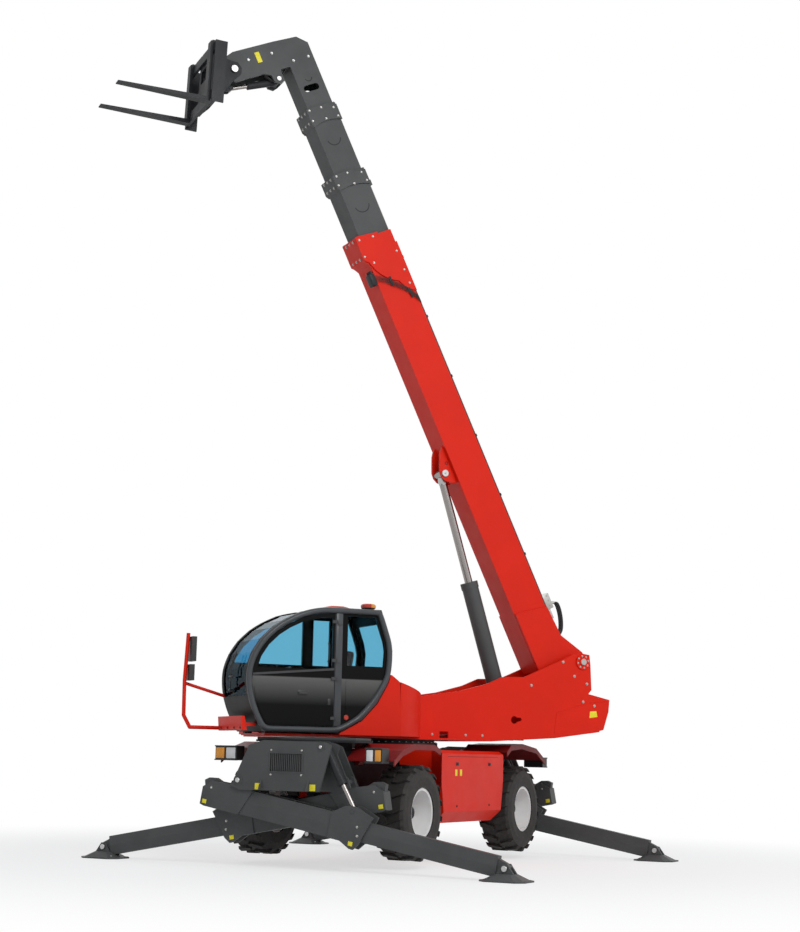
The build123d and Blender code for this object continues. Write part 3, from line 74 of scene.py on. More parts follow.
FOOT_ALONG, FOOT_BELOW = 3.603, 0.247       # foot pin from the beam's hinge, along and square to it
SIDES = (-1, 1)
CORNERS = ("front_left", "front_right", "rear_left", "rear_right")


def at(x, y, z):
    """A point of the upper frame in the scene."""
    return AXIS + Vector((x, y, z))


def angles(count, start=0.0):
    """Equal steps round a full turn."""
    return [2 * math.pi * k / count + start for k in range(count)]


def link(name, data):
    """A new object in the scene."""
    obj = bpy.data.objects.new(name, data)
    bpy.context.scene.collection.objects.link(obj)
    return obj


UPPER = Matrix.Translation(AXIS)
CHASSIS = Matrix.Translation(AXIS) @ Matrix.Rotation(SLEW, 4, "Z")
BOOM_PLACE = Matrix.Translation(AXIS + Vector((0.0, PIVOT_Y, PIVOT_Z))) @ Matrix.Rotation(-BOOM, 4, "X")
HALF_TURN = Matrix.Rotation(math.pi, 4, "Z")


# ---- Camera -----------------------------------------------------------------
def make_camera():
    """Camera where the photograph was taken from, with its slight turn, pitch and roll."""
    azimuth, distance, height = 66.0, 22.7658, 1.3423
    stand, heading = math.radians(azimuth), math.radians(azimuth - 0.0558)
    pitch, roll = math.radians(9.8643), math.radians(1.1739)
    forward = Vector((-math.sin(heading) * math.cos(pitch), math.cos(heading) * math.cos(pitch),
                      math.sin(pitch)))
    right = Vector((math.cos(heading), math.sin(heading), 0.0))
    up = right.cross(forward)
    side = right * math.cos(roll) + up * math.sin(roll)
    top = up * math.cos(roll) - right * math.sin(roll)
    place = Matrix((side, top, -forward)).transposed().to_4x4()
    place.translation = at(math.sin(stand) * distance, -math.cos(stand) * distance, height)
    data = bpy.data.cameras.new("camera")
    data.sensor_width = 36.0
    data.lens = 64.64
    data.clip_end = 200.0
    camera = link("camera", data)
    camera.matrix_world = place
    bpy.context.scene.camera = camera


make_camera()


# ---- Materials --------------------------------------------------------------
def tree(name):
    """A new material, its node tree and its shader."""
    material = bpy.data.materials.new(name)
    material.use_nodes = True
    return material, material.node_tree, material.node_tree.nodes["Principled BSDF"]


def add(nt, kind, **values):
    """A shader node with properties and unlinked inputs set."""
    node = nt.nodes.new(kind)
    for key, value in values.items():
        if hasattr(node, key):
            setattr(node, key, value)
        else:
            node.inputs[key.replace("_", " ")].default_value = value
    return node


def noise(nt, scale, detail=4.0, rough=0.55):
    """Noise over the object's own coordinates."""
    where = add(nt, "ShaderNodeTexCoord")
    field = add(nt, "ShaderNodeTexNoise", Scale=scale, Detail=detail, Roughness=rough)
    nt.links.new(where.outputs["Object"], field.inputs["Vector"])
    return field.outputs["Fac"]


def ramp(nt, source, stops):
    """Colour ramp over a value; stops are (place, colour)."""
    node = nt.nodes.new("ShaderNodeValToRGB")
    elements = node.color_ramp.elements
    while len(elements) < len(stops):
        elements.new(0.5)
    for element, (place, colour) in zip(elements, stops):
        element.position = place
        element.color = (*colour, 1.0)
    nt.links.new(source, node.inputs["Fac"])
    return node.outputs["Color"]


def remap(nt, source, low, high, start=0.0, end=1.0, kind="LINEAR"):
    """Value from start-end to low-high."""
    node = add(nt, "ShaderNodeMapRange", interpolation_type=kind)
    for key, value in (("From Min", start), ("From Max", end), ("To Min", low), ("To Max", high)):
        node.inputs[key].default_value = value
    nt.links.new(source, node.inputs["Value"])
    return node.outputs["Result"]


def combine(nt, kind, one, two):
    """Math over a value and another value or a number."""
    node = add(nt, "ShaderNodeMath", operation=kind)
    nt.links.new(one, node.inputs[0])
    if isinstance(two, float):
        node.inputs[1].default_value = two
    else:
        nt.links.new(two, node.inputs[1])
    return node.outputs["Value"]


def mixed(nt, factor, one, two):
    """Mix of two colours, each a plain one or another node's."""
    node = add(nt, "ShaderNodeMix", data_type="RGBA")
    nt.links.new(factor, node.inputs["Factor"])
    for slot, colour in ((6, one), (7, two)):       # the colour sockets, whose names repeat
        if isinstance(colour, tuple):
            node.inputs[slot].default_value = (*colour, 1.0)
        else:
            nt.links.new(colour, node.inputs[slot])
    return node.outputs[2]


def place_axes(nt):
    """The object's own coordinates, one by one."""
    where = add(nt, "ShaderNodeTexCoord")
    split = add(nt, "ShaderNodeSeparateXYZ")
    nt.links.new(where.outputs["Object"], split.inputs["Vector"])
    return split.outputs


def bump(nt, shader, source, strength, distance):
    """Bump from a height value."""
    node = add(nt, "ShaderNodeBump", Strength=strength, Distance=distance)
    nt.links.new(source, node.inputs["Height"])
    nt.links.new(node.outputs["Normal"], shader.inputs["Normal"])


def shade(colour, factor):
    """A colour made lighter or darker."""
    return tuple(min(1.0, c * factor) for c in colour)


def paint(name, colour, rough=0.3, coat=0.3, grime=0.82, metallic=0.0):
    """Painted steel: faint cloudiness, duller patches and orange peel."""
    material, nt, shader = tree(name)
    cloud = noise(nt, 1.7, 6.0)
    tone = ramp(nt, cloud, [(0.3, shade(colour, grime)), (0.55, colour), (0.8, shade(colour, 1.06))])
    nt.links.new(tone, shader.inputs["Base Color"])
    nt.links.new(remap(nt, noise(nt, 5.0), rough * 0.8, rough * 1.35), shader.inputs["Roughness"])
    shader.inputs["Metallic"].default_value = metallic
    shader.inputs["Specular IOR Level"].default_value = 0.16
    shader.inputs["Coat Weight"].default_value = coat
    shader.inputs["Coat Roughness"].default_value = 0.12
    bump(nt, shader, noise(nt, 240.0, 2.0), 0.08, 0.0008)
    return material


def rubber(name, colour, dust):
    """Tyre rubber with dried mud in blotches."""
    material, nt, shader = tree(name)
    blotch = noise(nt, 9.0, 8.0, 0.65)
    tone = ramp(nt, blotch, [(0.35, colour), (0.6, shade(colour, 1.5)), (0.75, dust)])
    nt.links.new(tone, shader.inputs["Base Color"])
    nt.links.new(remap(nt, noise(nt, 30.0), 0.6, 0.92), shader.inputs["Roughness"])
    bump(nt, shader, noise(nt, 120.0, 5.0), 0.35, 0.002)
    return material


def metal(name, colour, rough, scratch=0.05):
    """Bare metal with fine streaks."""
    material, nt, shader = tree(name)
    streak = noise(nt, 60.0, 3.0)
    tone = ramp(nt, streak, [(0.3, shade(colour, 0.86)), (0.7, colour)])
    nt.links.new(tone, shader.inputs["Base Color"])
    nt.links.new(remap(nt, streak, rough * 0.7, rough * 1.5), shader.inputs["Roughness"])
    shader.inputs["Metallic"].default_value = 1.0
    bump(nt, shader, streak, scratch, 0.0005)
    return material


def plastic(name, colour, rough=0.45, grain=0.12):
    """Moulded plastic with a fine grain."""
    material, nt, shader = tree(name)
    tone = ramp(nt, noise(nt, 12.0), [(0.3, shade(colour, 0.85)), (0.7, colour)])
    nt.links.new(tone, shader.inputs["Base Color"])
    nt.links.new(remap(nt, noise(nt, 20.0), rough * 0.85, rough * 1.2), shader.inputs["Roughness"])
    bump(nt, shader, noise(nt, 900.0, 2.0), grain, 0.0006)
    return material


def window(name, tint, clear):
    """Thin panes: clear on the cab's near side, sky-blue tint on the others, with faint streaks."""
    material, nt, shader = tree(name)
    near = remap(nt, place_axes(nt)["X"], 0.0, 1.0, at(1.19, 0, 0).x, at(1.21, 0, 0).x)
    tone = ramp(nt, noise(nt, 2.0), [(0.3, shade(tint, 0.96)), (0.8, tint)])
    nt.links.new(mixed(nt, near, tone, clear), shader.inputs["Base Color"])
    nt.links.new(remap(nt, noise(nt, 6.0, 6.0), 0.0, 0.02), shader.inputs["Roughness"])
    shader.inputs["Transmission Weight"].default_value = 1.0
    shader.inputs["IOR"].default_value = 1.06
    return material


def cab_shell(name, dark, painted_highlight, ring):
    """Gloss-black cab panels; on the near side the lower ones grow lighter towards their top edge as a painted
    highlight. A grey ring and pillar.
    """
    material, nt, shader = tree(name)
    axes = place_axes(nt)

    def over(axis, limit):
        return combine(nt, "GREATER_THAN", axes[axis], limit)

    side = at(CAB_SIDE, 0.0, 0.0).x
    pillar = combine(nt, "SUBTRACT", over("Y", at(0, -1.377, 0).y), over("Y", at(0, -1.274, 0).y))
    grey = combine(nt, "MAXIMUM", over("X", at(1.259, 0, 0).x), combine(nt, "MULTIPLY", pillar, over("X", side)))
    # painted highlight: the near side's lower panels grow lighter towards their top edge
    height = remap(nt, axes["Z"], 0.0, 1.0, 1.95, 2.31)
    highlit_panel = ramp(nt, height, [(0.0, dark), (0.93, painted_highlight), (0.97, dark)])
    outside = mixed(nt, over("X", side), dark, highlit_panel)
    nt.links.new(mixed(nt, grey, outside, ring), shader.inputs["Base Color"])
    nt.links.new(remap(nt, noise(nt, 4.0), 0.35, 0.5), shader.inputs["Roughness"])
    shader.inputs["Specular IOR Level"].default_value = 0.06
    bump(nt, shader, noise(nt, 300.0, 2.0), 0.05, 0.0005)
    return material


def cloth(name, colour):
    """Woven seat cloth."""
    material, nt, shader = tree(name)
    where = add(nt, "ShaderNodeTexCoord")
    weave = add(nt, "ShaderNodeTexVoronoi", Scale=420.0)
    nt.links.new(where.outputs["Object"], weave.inputs["Vector"])
    tone = ramp(nt, weave.outputs["Distance"], [(0.1, shade(colour, 0.6)), (0.7, shade(colour, 1.3))])
    nt.links.new(tone, shader.inputs["Base Color"])
    nt.links.new(remap(nt, noise(nt, 15.0), 0.8, 0.95), shader.inputs["Roughness"])
    shader.inputs["Sheen Weight"].default_value = 0.3
    bump(nt, shader, weave.outputs["Distance"], 0.4, 0.001)
    return material


RED = (0.72, 0.016, 0.003)
M = {
    "red": paint("red_paint", RED, 0.42, 0.04, 0.95),
    "grey": paint("grey_paint", (0.082, 0.084, 0.084), 0.45, 0.04),
    "dark": paint("dark_steel", (0.026, 0.027, 0.03), 0.5, 0.05),
    "ring": paint("cab_ring_grey", (0.065, 0.07, 0.075), 0.35, 0.2),
    # mudguards: red, painted darker than the body red as painted shade under the machine
    "mudguard_shaded_red": paint("guard_paint", (0.20, 0.010, 0.010), 0.4, 0.05),
    "rim": paint("rim_silver", (0.82, 0.81, 0.80), 0.34, 0.1, 0.92),
    "tyre": rubber("tyre_rubber", (0.014, 0.012, 0.011), (0.05, 0.036, 0.026)),
    "chrome": metal("chrome_rod", (0.3, 0.28, 0.27), 0.24),
    "steel": metal("bare_steel", (0.5, 0.5, 0.5), 0.35),
    "window": window("window_pane", (0.125, 0.43, 0.61), (0.97, 0.98, 0.98)),
    "cloth": cloth("seat_cloth", (0.03, 0.03, 0.033)),
    "plastic": plastic("black_plastic", (0.012, 0.012, 0.013)),
    "lampred": plastic("red_lamp", (0.55, 0.03, 0.01), 0.2, 0.02),
    "amber": plastic("amber_lens", (0.85, 0.33, 0.02), 0.2, 0.02),
    "white": plastic("white_lens", (0.75, 0.75, 0.75), 0.15, 0.02),
    "yellow": plastic("yellow_sign", (0.9, 0.78, 0.02), 0.5, 0.02),
    "iron": paint("engine_iron", (0.08, 0.08, 0.08), 0.6, 0.0),
    # cab panels: black, with a painted highlight near the top edge of the near side's lower panels
    "highlit_panel": cab_shell("cab_panels_painted_highlight", (0.006, 0.006, 0.006), (0.13, 0.13, 0.125),
                       (0.075, 0.075, 0.077)),
    "mirror": metal("mirror_glass", (0.35, 0.37, 0.4), 0.05, 0.01),
    "hose": plastic("hose_rubber", (0.012, 0.012, 0.012), 0.55, 0.2),
    "zinc": metal("zinc_fittings", (0.42, 0.41, 0.39), 0.35),
    "brown": paint("primer_red", (0.16, 0.016, 0.01), 0.5, 0.05),
}

DRESS = {
    "chassis_frame": "dark", "slew_ring": "dark", "outrigger_carriers": "grey", "axles": "dark",
    "side_boxes": "red", "mudguards": "mudguard_shaded_red", "lamps": "plastic", "turret_frame": "red",
    "counterweight": "red", "engine_hood": "red", "engine_block": "iron", "cab_frame": "highlit_panel",
    "cab_door": "highlit_panel", "door_glass": "window", "cab_glass": "window", "cab_fairing": "red",
    "cab_seat": "cloth", "cab_trim": "plastic", "cab_guards": "red", "cab_lamps": "lampred",
    "boom_section_1": "red", "boom_section_2": "grey", "boom_section_3": "grey", "boom_section_4": "grey",
    "extension_barrel": "dark", "extension_rod": "chrome", "lift_barrel": "grey", "lift_rod": "chrome",
    "carriage": "dark", "forks": "dark", "tilt_barrel": "dark", "tilt_rod": "chrome",
}
for corner in CORNERS:
    DRESS.update({
        "knuckle_" + corner: "dark", "tyre_" + corner: "tyre", "rim_" + corner: "rim",
        "outrigger_beam_" + corner: "grey", "outrigger_leg_" + corner: "grey",
        "stabiliser_barrel_" + corner: "dark", "stabiliser_rod_" + corner: "chrome",
    })
for name, key in DRESS.items():
    data = nodes[name].data
    if not data.materials:
        data.materials.append(M[key])
    for index in range(len(data.materials)):
        data.materials[index] = M[key]


# ---- Mesh tools ---------------------------------------------------------------
SHARP_BEVEL = 0.6       # radians between faces above which an edge is bevelled
SHARP_SHADE = 0.62      # and below which it is shaded smooth


def curve(points, fine):
    """A smooth line through the points, with `fine` steps between each two."""
    points = [Vector(p) for p in points]
    path = []
    for i in range(len(points) - 1):
        p0 = points[i - 1] if i else points[i] * 2 - points[i + 1]
        p1, p2 = points[i], points[i + 1]
        p3 = points[i + 2] if i + 2 < len(points) else p2 * 2 - p1
        for k in range(fine):
            t = k / fine
            path.append(0.5 * ((2 * p1) + (p2 - p0) * t + (2 * p0 - 5 * p1 + 4 * p2 - p3) * t * t
                               + (3 * p1 - p0 - 3 * p2 + p3) * t ** 3))
    path.append(points[-1])
    return path


class Shape:
    """Collects bevelled parts in one frame and makes them one object riding on a body."""

    def __init__(self, place):
        self.bm = bmesh.new()
        self.place = place

    def _bevel(self, verts, width, steps=2):
        if width:
            edges = {e for v in verts for e in v.link_edges}
            sharp = [e for e in edges if len(e.link_faces) == 2 and e.calc_face_angle(0.0) > SHARP_BEVEL]
            bmesh.ops.bevel(self.bm, geom=sharp, offset=width, segments=steps, profile=0.5, affect="EDGES",
                            clamp_overlap=True)

    def _skin(self, rings):
        """Faces from each ring of corners to the next, with both ends closed."""
        faces = [self.bm.faces.new(rings[0]), self.bm.faces.new(list(reversed(rings[-1])))]
        for one, two in zip(rings, rings[1:]):
            for k in range(len(one)):
                j = (k + 1) % len(one)
                faces.append(self.bm.faces.new((one[j], one[k], two[k], two[j])))
        bmesh.ops.recalc_face_normals(self.bm, faces=faces)
        return self

    def box(self, x, y, z, bevel=0.003, turn=None):
        """Block between limits given as pairs, turned about its middle if asked."""
        made = bmesh.ops.create_cube(self.bm, size=1.0)["verts"]
        middle = Vector(((x[0] + x[1]) / 2, (y[0] + y[1]) / 2, (z[0] + z[1]) / 2))
        size = Vector((abs(x[1] - x[0]), abs(y[1] - y[0]), abs(z[1] - z[0])))
        spin = turn.to_4x4() if turn else Matrix.Identity(4)
        for v in made:
            v.co = middle + (spin @ Vector((v.co.x * size.x, v.co.y * size.y, v.co.z * size.z)))
        self._bevel(made, bevel)
        return self

    def prism(self, points, axis, a, b, bevel=0.003):
        """Outline in the plane square to an axis (0, 1, 2), between two places along it."""
        def put(p, t):
            co = list(p)
            co.insert(axis, t)
            return self.bm.verts.new(co)
        one, two = [put(p, a) for p in points], [put(p, b) for p in points]
        self._skin([one, two])
        self._bevel(one + two, bevel)
        return self

    def turned(self, start, end, profile, sides=32):
        """Body of revolution from start towards end; profile lists (along, radius), closed at its ends."""
        start, end = Vector(start), Vector(end)
        aim = (end - start).to_track_quat("Z", "Y").to_matrix()
        return self._skin([[self.bm.verts.new(start + aim @ Vector((r * math.cos(a), r * math.sin(a), along)))
                            for a in angles(sides)] for along, r in profile])

    def pin(self, start, end, radius, edge=0.004, sides=28):
        """Round bar with bevelled ends."""
        length = (Vector(end) - Vector(start)).length
        edge = min(edge, radius * 0.4, length * 0.4)
        return self.turned(start, end, [(0.0, radius - edge), (edge, radius), (length - edge, radius),
                                        (length, radius - edge)], sides)

    def ring(self, centre, axis, radius, tube, depth, sides=40):
        """Flat band ring about an axis."""
        centre, axis = Vector(centre), Vector(axis).normalized()
        aim = axis.to_track_quat("Z", "Y").to_matrix()
        corners = ((radius, 0.0), (radius + tube, 0.0), (radius + tube, depth), (radius, depth))
        loops = [[self.bm.verts.new(centre + aim @ Vector((r * math.cos(a), r * math.sin(a), t)))
                  for r, t in corners] for a in angles(sides)]
        faces = []
        for k in range(sides):
            one, two = loops[k], loops[(k + 1) % sides]
            for i in range(4):
                j = (i + 1) % 4
                faces.append(self.bm.faces.new((one[i], one[j], two[j], two[i])))
        bmesh.ops.recalc_face_normals(self.bm, faces=faces)
        return self

    def bolt(self, seat, axis, radius=0.012):
        """Hexagon head on a washer, standing on a surface."""
        seat, axis = Vector(seat), Vector(axis).normalized()
        self.pin(seat - axis * 0.002, seat + axis * radius * 0.25, radius * 1.45, 0.0015, 20)
        tall = radius * 0.75
        start = seat + axis * radius * 0.2
        head = [(0.0, radius), (tall * 0.8, radius), (tall, radius * 0.82)]
        return self.turned(start, start + axis * tall, head, 6)

    def sweep(self, points, radius, sides=12, fine=8):
        """Round tube on a smooth curve through the points."""
        path = curve(points, fine)
        normal = (path[1] - path[0]).normalized().orthogonal().normalized()
        rings = []
        for i, p in enumerate(path):
            ahead = (path[min(i + 1, len(path) - 1)] - path[max(i - 1, 0)]).normalized()
            normal = (normal - ahead * normal.dot(ahead)).normalized()
            other = ahead.cross(normal)
            rings.append([self.bm.verts.new(p + (normal * math.cos(a) + other * math.sin(a)) * radius)
                          for a in angles(sides)])
        return self._skin(rings)

    def done(self, name, material, body):
        """Turns what was collected into an object on a body."""
        self.bm.transform(self.place)
        for face in self.bm.faces:
            face.smooth = True
        for edge in self.bm.edges:
            edge.smooth = len(edge.link_faces) == 2 and edge.calc_face_angle(0.0) < SHARP_SHADE
        mesh = bpy.data.meshes.new(name)
        self.bm.to_mesh(mesh)
        self.bm.free()
        mesh.materials.append(M[material])
        obj = link(name, mesh)
        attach(obj, body)
        return obj


# ---- Boom ---------------------------------------------------------------------
# Along and square places of bolts are (e, n), with e from the pivot. Per body: half width of its collar, bolts on
# the sides, rows of bolts below, and the height of those.
COLLAR_BOLTS = (
    ("boom_1", 0.232, ((6.61, -0.64), (6.37, -0.66), (6.6, -0.42), (6.3, -0.16), (6.02, -0.16),
                       (5.82, -0.16), (6.25, -0.56)), (6.36, 6.62), -0.688),
    ("boom_2", 0.212, ((7.55, -0.58), (7.42, -0.6), (7.55, -0.4), (7.5, -0.19), (7.37, -0.16),
                       (7.38, -0.36)), (7.42, 7.54), -0.636),
    ("boom_3", 0.194, ((8.53, -0.57), (8.38, -0.58), (8.53, -0.38), (8.48, -0.2), (8.35, -0.18),
                       (8.36, -0.37)), (8.37, 8.52), -0.612),
)
# Body, half width, middle and radius of the arc pressed into each side, drawn as a dark strip of painted shade.
EMBOSSINGS = (("boom_2", 0.19, 7.08, 0.12), ("boom_3", 0.172, 8.08, 0.11), ("boom_4", 0.156, 8.99, 0.06))


def boom_bolts():
    """Bolts of the collars."""
    for body, x, places, rows, low in COLLAR_BOLTS:
        shape = Shape(BOOM_PLACE)
        for side in SIDES:
            for e, n in places:
                shape.bolt((side * x, -e, n), (side, 0, 0), 0.011)
        for e in rows:
            for across in (-0.12, 0.0, 0.12):
                shape.bolt((across, -e, low), (0, 0, -1), 0.014)
        shape.done(body + "_bolts", "zinc", body)


def boom_embossing_shade():
    """Pressed arcs on the sides of the inner sections, drawn as thin dark strips: painted shade in their grooves.
    """
    steps, half, middle, width = 20, 78, -0.37, 0.013
    for body, x, e, radius in EMBOSSINGS:
        shape = Shape(BOOM_PLACE)
        for side in SIDES:
            outer, inner = [[(-e + r * math.cos(a), middle + r * math.sin(a)) for a in
                             (math.radians(-half + 2 * half * k / steps) for k in range(steps + 1))]
                            for r in (radius, radius - width)]
            for k in range(steps):
                shape.prism([outer[k], outer[k + 1], inner[k + 1], inner[k]], 0,
                            side * (x - 0.002), side * (x + 0.00025), 0)
        shape.done(body + "_embossing_painted_shade", "dark", body)


def boom_band():
    """Hose band across the outer collar, its clamps and the fittings block under it."""
    pitch, skin = 0.016, 0.234
    shape = Shape(BOOM_PLACE)
    for k in range(6):
        e = pitch * k
        shape.sweep([(skin, -6.0 - e, -0.632), (skin, -5.93 - e, -0.5), (skin, -5.72 - e, -0.25),
                     (skin, -5.54 - e, -0.118), (0.2, -5.49 - e, -0.1)], 0.0035, 8, 6)
    shape.done("boom_1_hose_band", "hose", "boom_1")
    shape = Shape(BOOM_PLACE)
    for e, n in ((5.9, -0.42), (5.66, -0.2)):
        shape.box((0.23, 0.2376), (-e - 0.1, -e + 0.04), (n - 0.016, n + 0.016), 0.002)
    shape.box((0.09, 0.23), (-6.12, -5.95), (-0.7, -0.625), 0.008)
    for k in range(4):
        x = 0.115 + 0.033 * k
        shape.pin((x, -6.1, -0.665), (x, -6.16, -0.665), 0.012)
    shape.done("boom_1_fittings", "dark", "boom_1")


def boom_pipes():
    """Pipe run along the boom's back, with clamps."""
    shape = Shape(BOOM_PLACE)
    for x in (0.15, 0.18):
        shape.sweep([(x, -0.55, -0.094), (x, -2.4, -0.092), (x, -4.4, -0.092), (x, -6.3, -0.094)], 0.013, fine=4)
    shape.done("boom_1_pipes", "hose", "boom_1")
    shape = Shape(BOOM_PLACE)
    for e in [0.8 + 0.9 * k for k in range(7)]:
        shape.box((0.128, 0.202), (-e - 0.02, -e + 0.02), (-0.112, -0.074), 0.004)
        shape.bolt((0.165, -e, -0.075), (0, 0, 1), 0.008)
    shape.done("boom_1_pipe_clamps", "dark", "boom_1")


def boom_valve():
    """Valve block near the boom's root, and its hoses."""
    ports = [0.07 + 0.045 * k for k in range(3)]
    shape = Shape(BOOM_PLACE)
    shape.box((0.03, 0.19), (-1.06, -0.84), (-0.112, 0.02), 0.008)
    shape.box((0.05, 0.17), (-0.84, -0.7), (-0.112, -0.03), 0.008)
    for k, x in enumerate(ports):
        shape.pin((x, -0.9, 0.018), (x, -0.9, 0.07), 0.018)
        shape.bolt((0.19, -1.03 + 0.07 * k, -0.02), (1, 0, 0), 0.009)
    shape.done("boom_valve_block", "zinc", "boom_1")
    shape = Shape(BOOM_PLACE)
    for x in ports:
        shape.sweep([(x, -0.9, 0.06), (x, -0.85, 0.12), (x, -0.68, 0.1), (x, -0.5, 0.02), (x, -0.42, -0.1)], 0.012)
    shape.done("boom_valve_hoses", "hose", "boom_1")


def lift_bracket():
    """Pin heads of the lift bracket, the small hole over its eye, and a tab on the outer collar."""
    shape = Shape(BOOM_PLACE)
    for side in SIDES:
        shape.pin((side * 0.139, *LIFT_EYE[1:]), (side * 0.158, *LIFT_EYE[1:]), 0.05)
        shape.bolt((side * 0.156, *LIFT_EYE[1:]), (side, 0, 0), 0.014)
    shape.done("lift_pin_heads", "steel", "boom_1")
    shape = Shape(BOOM_PLACE)
    for side in SIDES:
        shape.ring((side * 0.139, -3.3, -0.66), (side, 0, 0), 0.016, 0.008, 0.003, 24)
    shape.done("lift_bracket_eyelets", "dark", "boom_1")
    tab = [(-6.3, -0.099), (-6.1, -0.099), (-6.12, -0.02), (-6.28, -0.02)]
    Shape(BOOM_PLACE).prism(tab, 0, -0.19, -0.175, 0.004).done("boom_collar_tab", "grey", "boom_1")


def lift_neck():
    """Welded neck between the lift rod and its eye, which the CAD rod stops 2 mm short of."""
    eye = BOOM_PLACE @ Vector(LIFT_EYE)
    line = (at(*LIFT_FOOT) - eye).normalized()
    profile = [(0.0, 0.05), (0.018, 0.06), (0.07, 0.064), (0.1, 0.06), (0.11, 0.056)]
    shape = Shape(Matrix.Identity(4))
    shape.turned(eye + line * 0.04, eye + line * 0.15, profile, 36)
    shape.done("lift_rod_neck", "steel", "lift_rod")


def head_details():
    """Pin heads and bolts, hoses and a blank plate at the boom's tip."""
    shape = Shape(BOOM_PLACE)
    for side in SIDES:
        shape.pin((side * 0.204, -9.37, -1.39), (side * 0.222, -9.37, -1.39), 0.05)
        shape.pin((side * 0.157, -9.085, -0.795), (side * 0.172, -9.085, -0.795), 0.034)
        for e, n in ((9.27, -0.24), (9.27, -0.48), (9.45, -0.75), (9.45, -1.12)):
            shape.bolt((side * 0.156, -e, n), (side, 0, 0), 0.013)
    shape.done("jib_pins", "steel", "boom_4")
    shape = Shape(BOOM_PLACE)
    shape.box((0.1555, 0.1585), (-9.52, -9.37), (-1.0, -0.93), 0.001)
    shape.done("jib_blank_plate", "yellow", "boom_4")
    shape = Shape(BOOM_PLACE)
    for x in (0.06, 0.09):
        shape.sweep([(x, -9.22, -0.58), (x, -9.12, -0.72), (x, -9.1, -0.86), (x, -9.2, -0.94)], 0.011)
    shape.done("jib_hoses", "hose", "boom_4")


# ---- Turret -------------------------------------------------------------------
def turret_details():
    """Pivot and rail bolts, a blank plate, seams and floor hoses of the turret."""
    wall = 0.385        # half width over its side plates
    shape = Shape(UPPER)
    for side in SIDES:
        for a in angles(8, 0.2):
            place = (side * 0.407, PIVOT_Y + 0.082 * math.cos(a), PIVOT_Z + 0.082 * math.sin(a))
            shape.bolt(place, (side, 0, 0), 0.01)
        shape.pin((side * 0.414, PIVOT_Y, PIVOT_Z), (side * 0.43, PIVOT_Y, PIVOT_Z), 0.045)
        for y, z in ((2.4, 2.69), (2.58, 2.5), (2.78, 2.4), (2.72, 2.15), (2.9, 2.1), (1.9, 2.35)):
            shape.bolt((side * wall, y, z), (side, 0, 0), 0.014)
    for y in (-0.1, 0.4, 0.9, 1.15):
        shape.bolt((wall, y, 1.65), (1, 0, 0), 0.012)
    shape.done("turret_bolts", "zinc", "turret")
    outline = [(2.82, 1.93), (2.95, 1.95), (2.93, 2.03), (2.83, 2.02)]
    Shape(UPPER).prism(outline, 0, 0.383, 0.387, 0.0008).done("turret_blank_plate", "yellow", "turret")
    # folded seam where the tail plate meets the side plate
    fold = ((2.265, 1.7), (2.3, 1.99), (2.8, 2.14), (3.1, 2.17))
    shape = Shape(UPPER)
    for side in SIDES:
        x = side * 0.386
        for (y0, z0), (y1, z1) in zip(fold, fold[1:]):
            shape.sweep([(x, y0, z0), (x, (y0 + y1) / 2, (z0 + z1) / 2), (x, y1, z1)], 0.005, 8, 2)
    shape.done("turret_weld_seams", "red", "turret")
    # hoses from the floor to the lift cylinder's foot
    shape = Shape(UPPER)
    for k in range(3):
        shape.sweep([(0.24 + 0.03 * k, 0.5, 1.63), (0.24 + 0.03 * k, 0.9, 1.66),
                     (0.25 + 0.02 * k, 1.25, 1.74), (0.3, 1.4, 1.64)], 0.014)
    shape.done("turret_floor_hoses", "hose", "turret")


def engine_details():
    """Head covers and a pipe on the engine, under the hood."""
    shape = Shape(UPPER)
    for k in range(4):
        y = 0.3 * k
        shape.box((-1.0, -0.72), (-0.75 + y, -0.52 + y), (2.02, 2.075), 0.012)
        shape.pin((-0.9, -0.63 + y, 2.07), (-0.9, -0.63 + y, 2.085), 0.022)
    shape.done("engine_head", "iron", "turret")
    shape = Shape(UPPER)
    shape.sweep([(-0.66, -0.7, 2.045), (-0.64, -0.3, 2.055), (-0.64, 0.3, 2.055), (-0.68, 0.6, 2.045)], 0.035)
    shape.done("engine_pipe", "hose", "turret")


def hood_details():
    """Latches, grab handle and seams of the engine hood."""
    shape = Shape(UPPER)
    for y in (-1.35, -0.4, 0.75):
        shape.box((-1.262, -1.248), (y - 0.05, y + 0.05), (1.64, 1.68), 0.004)
        shape.pin((-1.26, y, 1.66), (-1.272, y, 1.66), 0.014)
    handle = ((-1.25, 0.95), (-1.29, 0.97), (-1.3, 1.06), (-1.29, 1.15), (-1.25, 1.17))
    shape.sweep([(x, y, 1.98) for x, y in handle], 0.01)
    shape.done("hood_latches", "dark", "hood")
    shape = Shape(UPPER)
    for y in (-1.05, 0.05, 0.6):
        shape.box((-1.2505, -1.2485), (y - 0.003, y + 0.003), (1.62, 1.98), 0.0)
    shape.done("hood_seams", "brown", "hood")


# ---- Cab ----------------------------------------------------------------------
CAB_RING_LINE = (       # side view of the ring tubes, as (y, z)
    (-1.18, 1.725), (-1.02, 1.83), (-0.83, 2.04), (-0.69, 2.27), (-0.645, 2.4), (-0.63, 2.6), (-0.645, 2.76),
    (-0.70, 2.93), (-0.76, 3.09), (-0.79, 3.13), (-0.84, 3.143), (-1.1, 3.144), (-1.36, 3.143),
    (-1.585, 3.132), (-1.82, 3.073), (-2.02, 2.977), (-2.17, 2.878), (-2.32, 2.733), (-2.428, 2.566),
    (-2.489, 2.39), (-2.496, 2.212), (-2.466, 2.035), (-2.402, 1.858), (-2.32, 1.71), (-2.26, 1.664),
    (-2.18, 1.655), (-1.95, 1.655), (-1.7, 1.655), (-1.45, 1.655), (-1.31, 1.668),
)


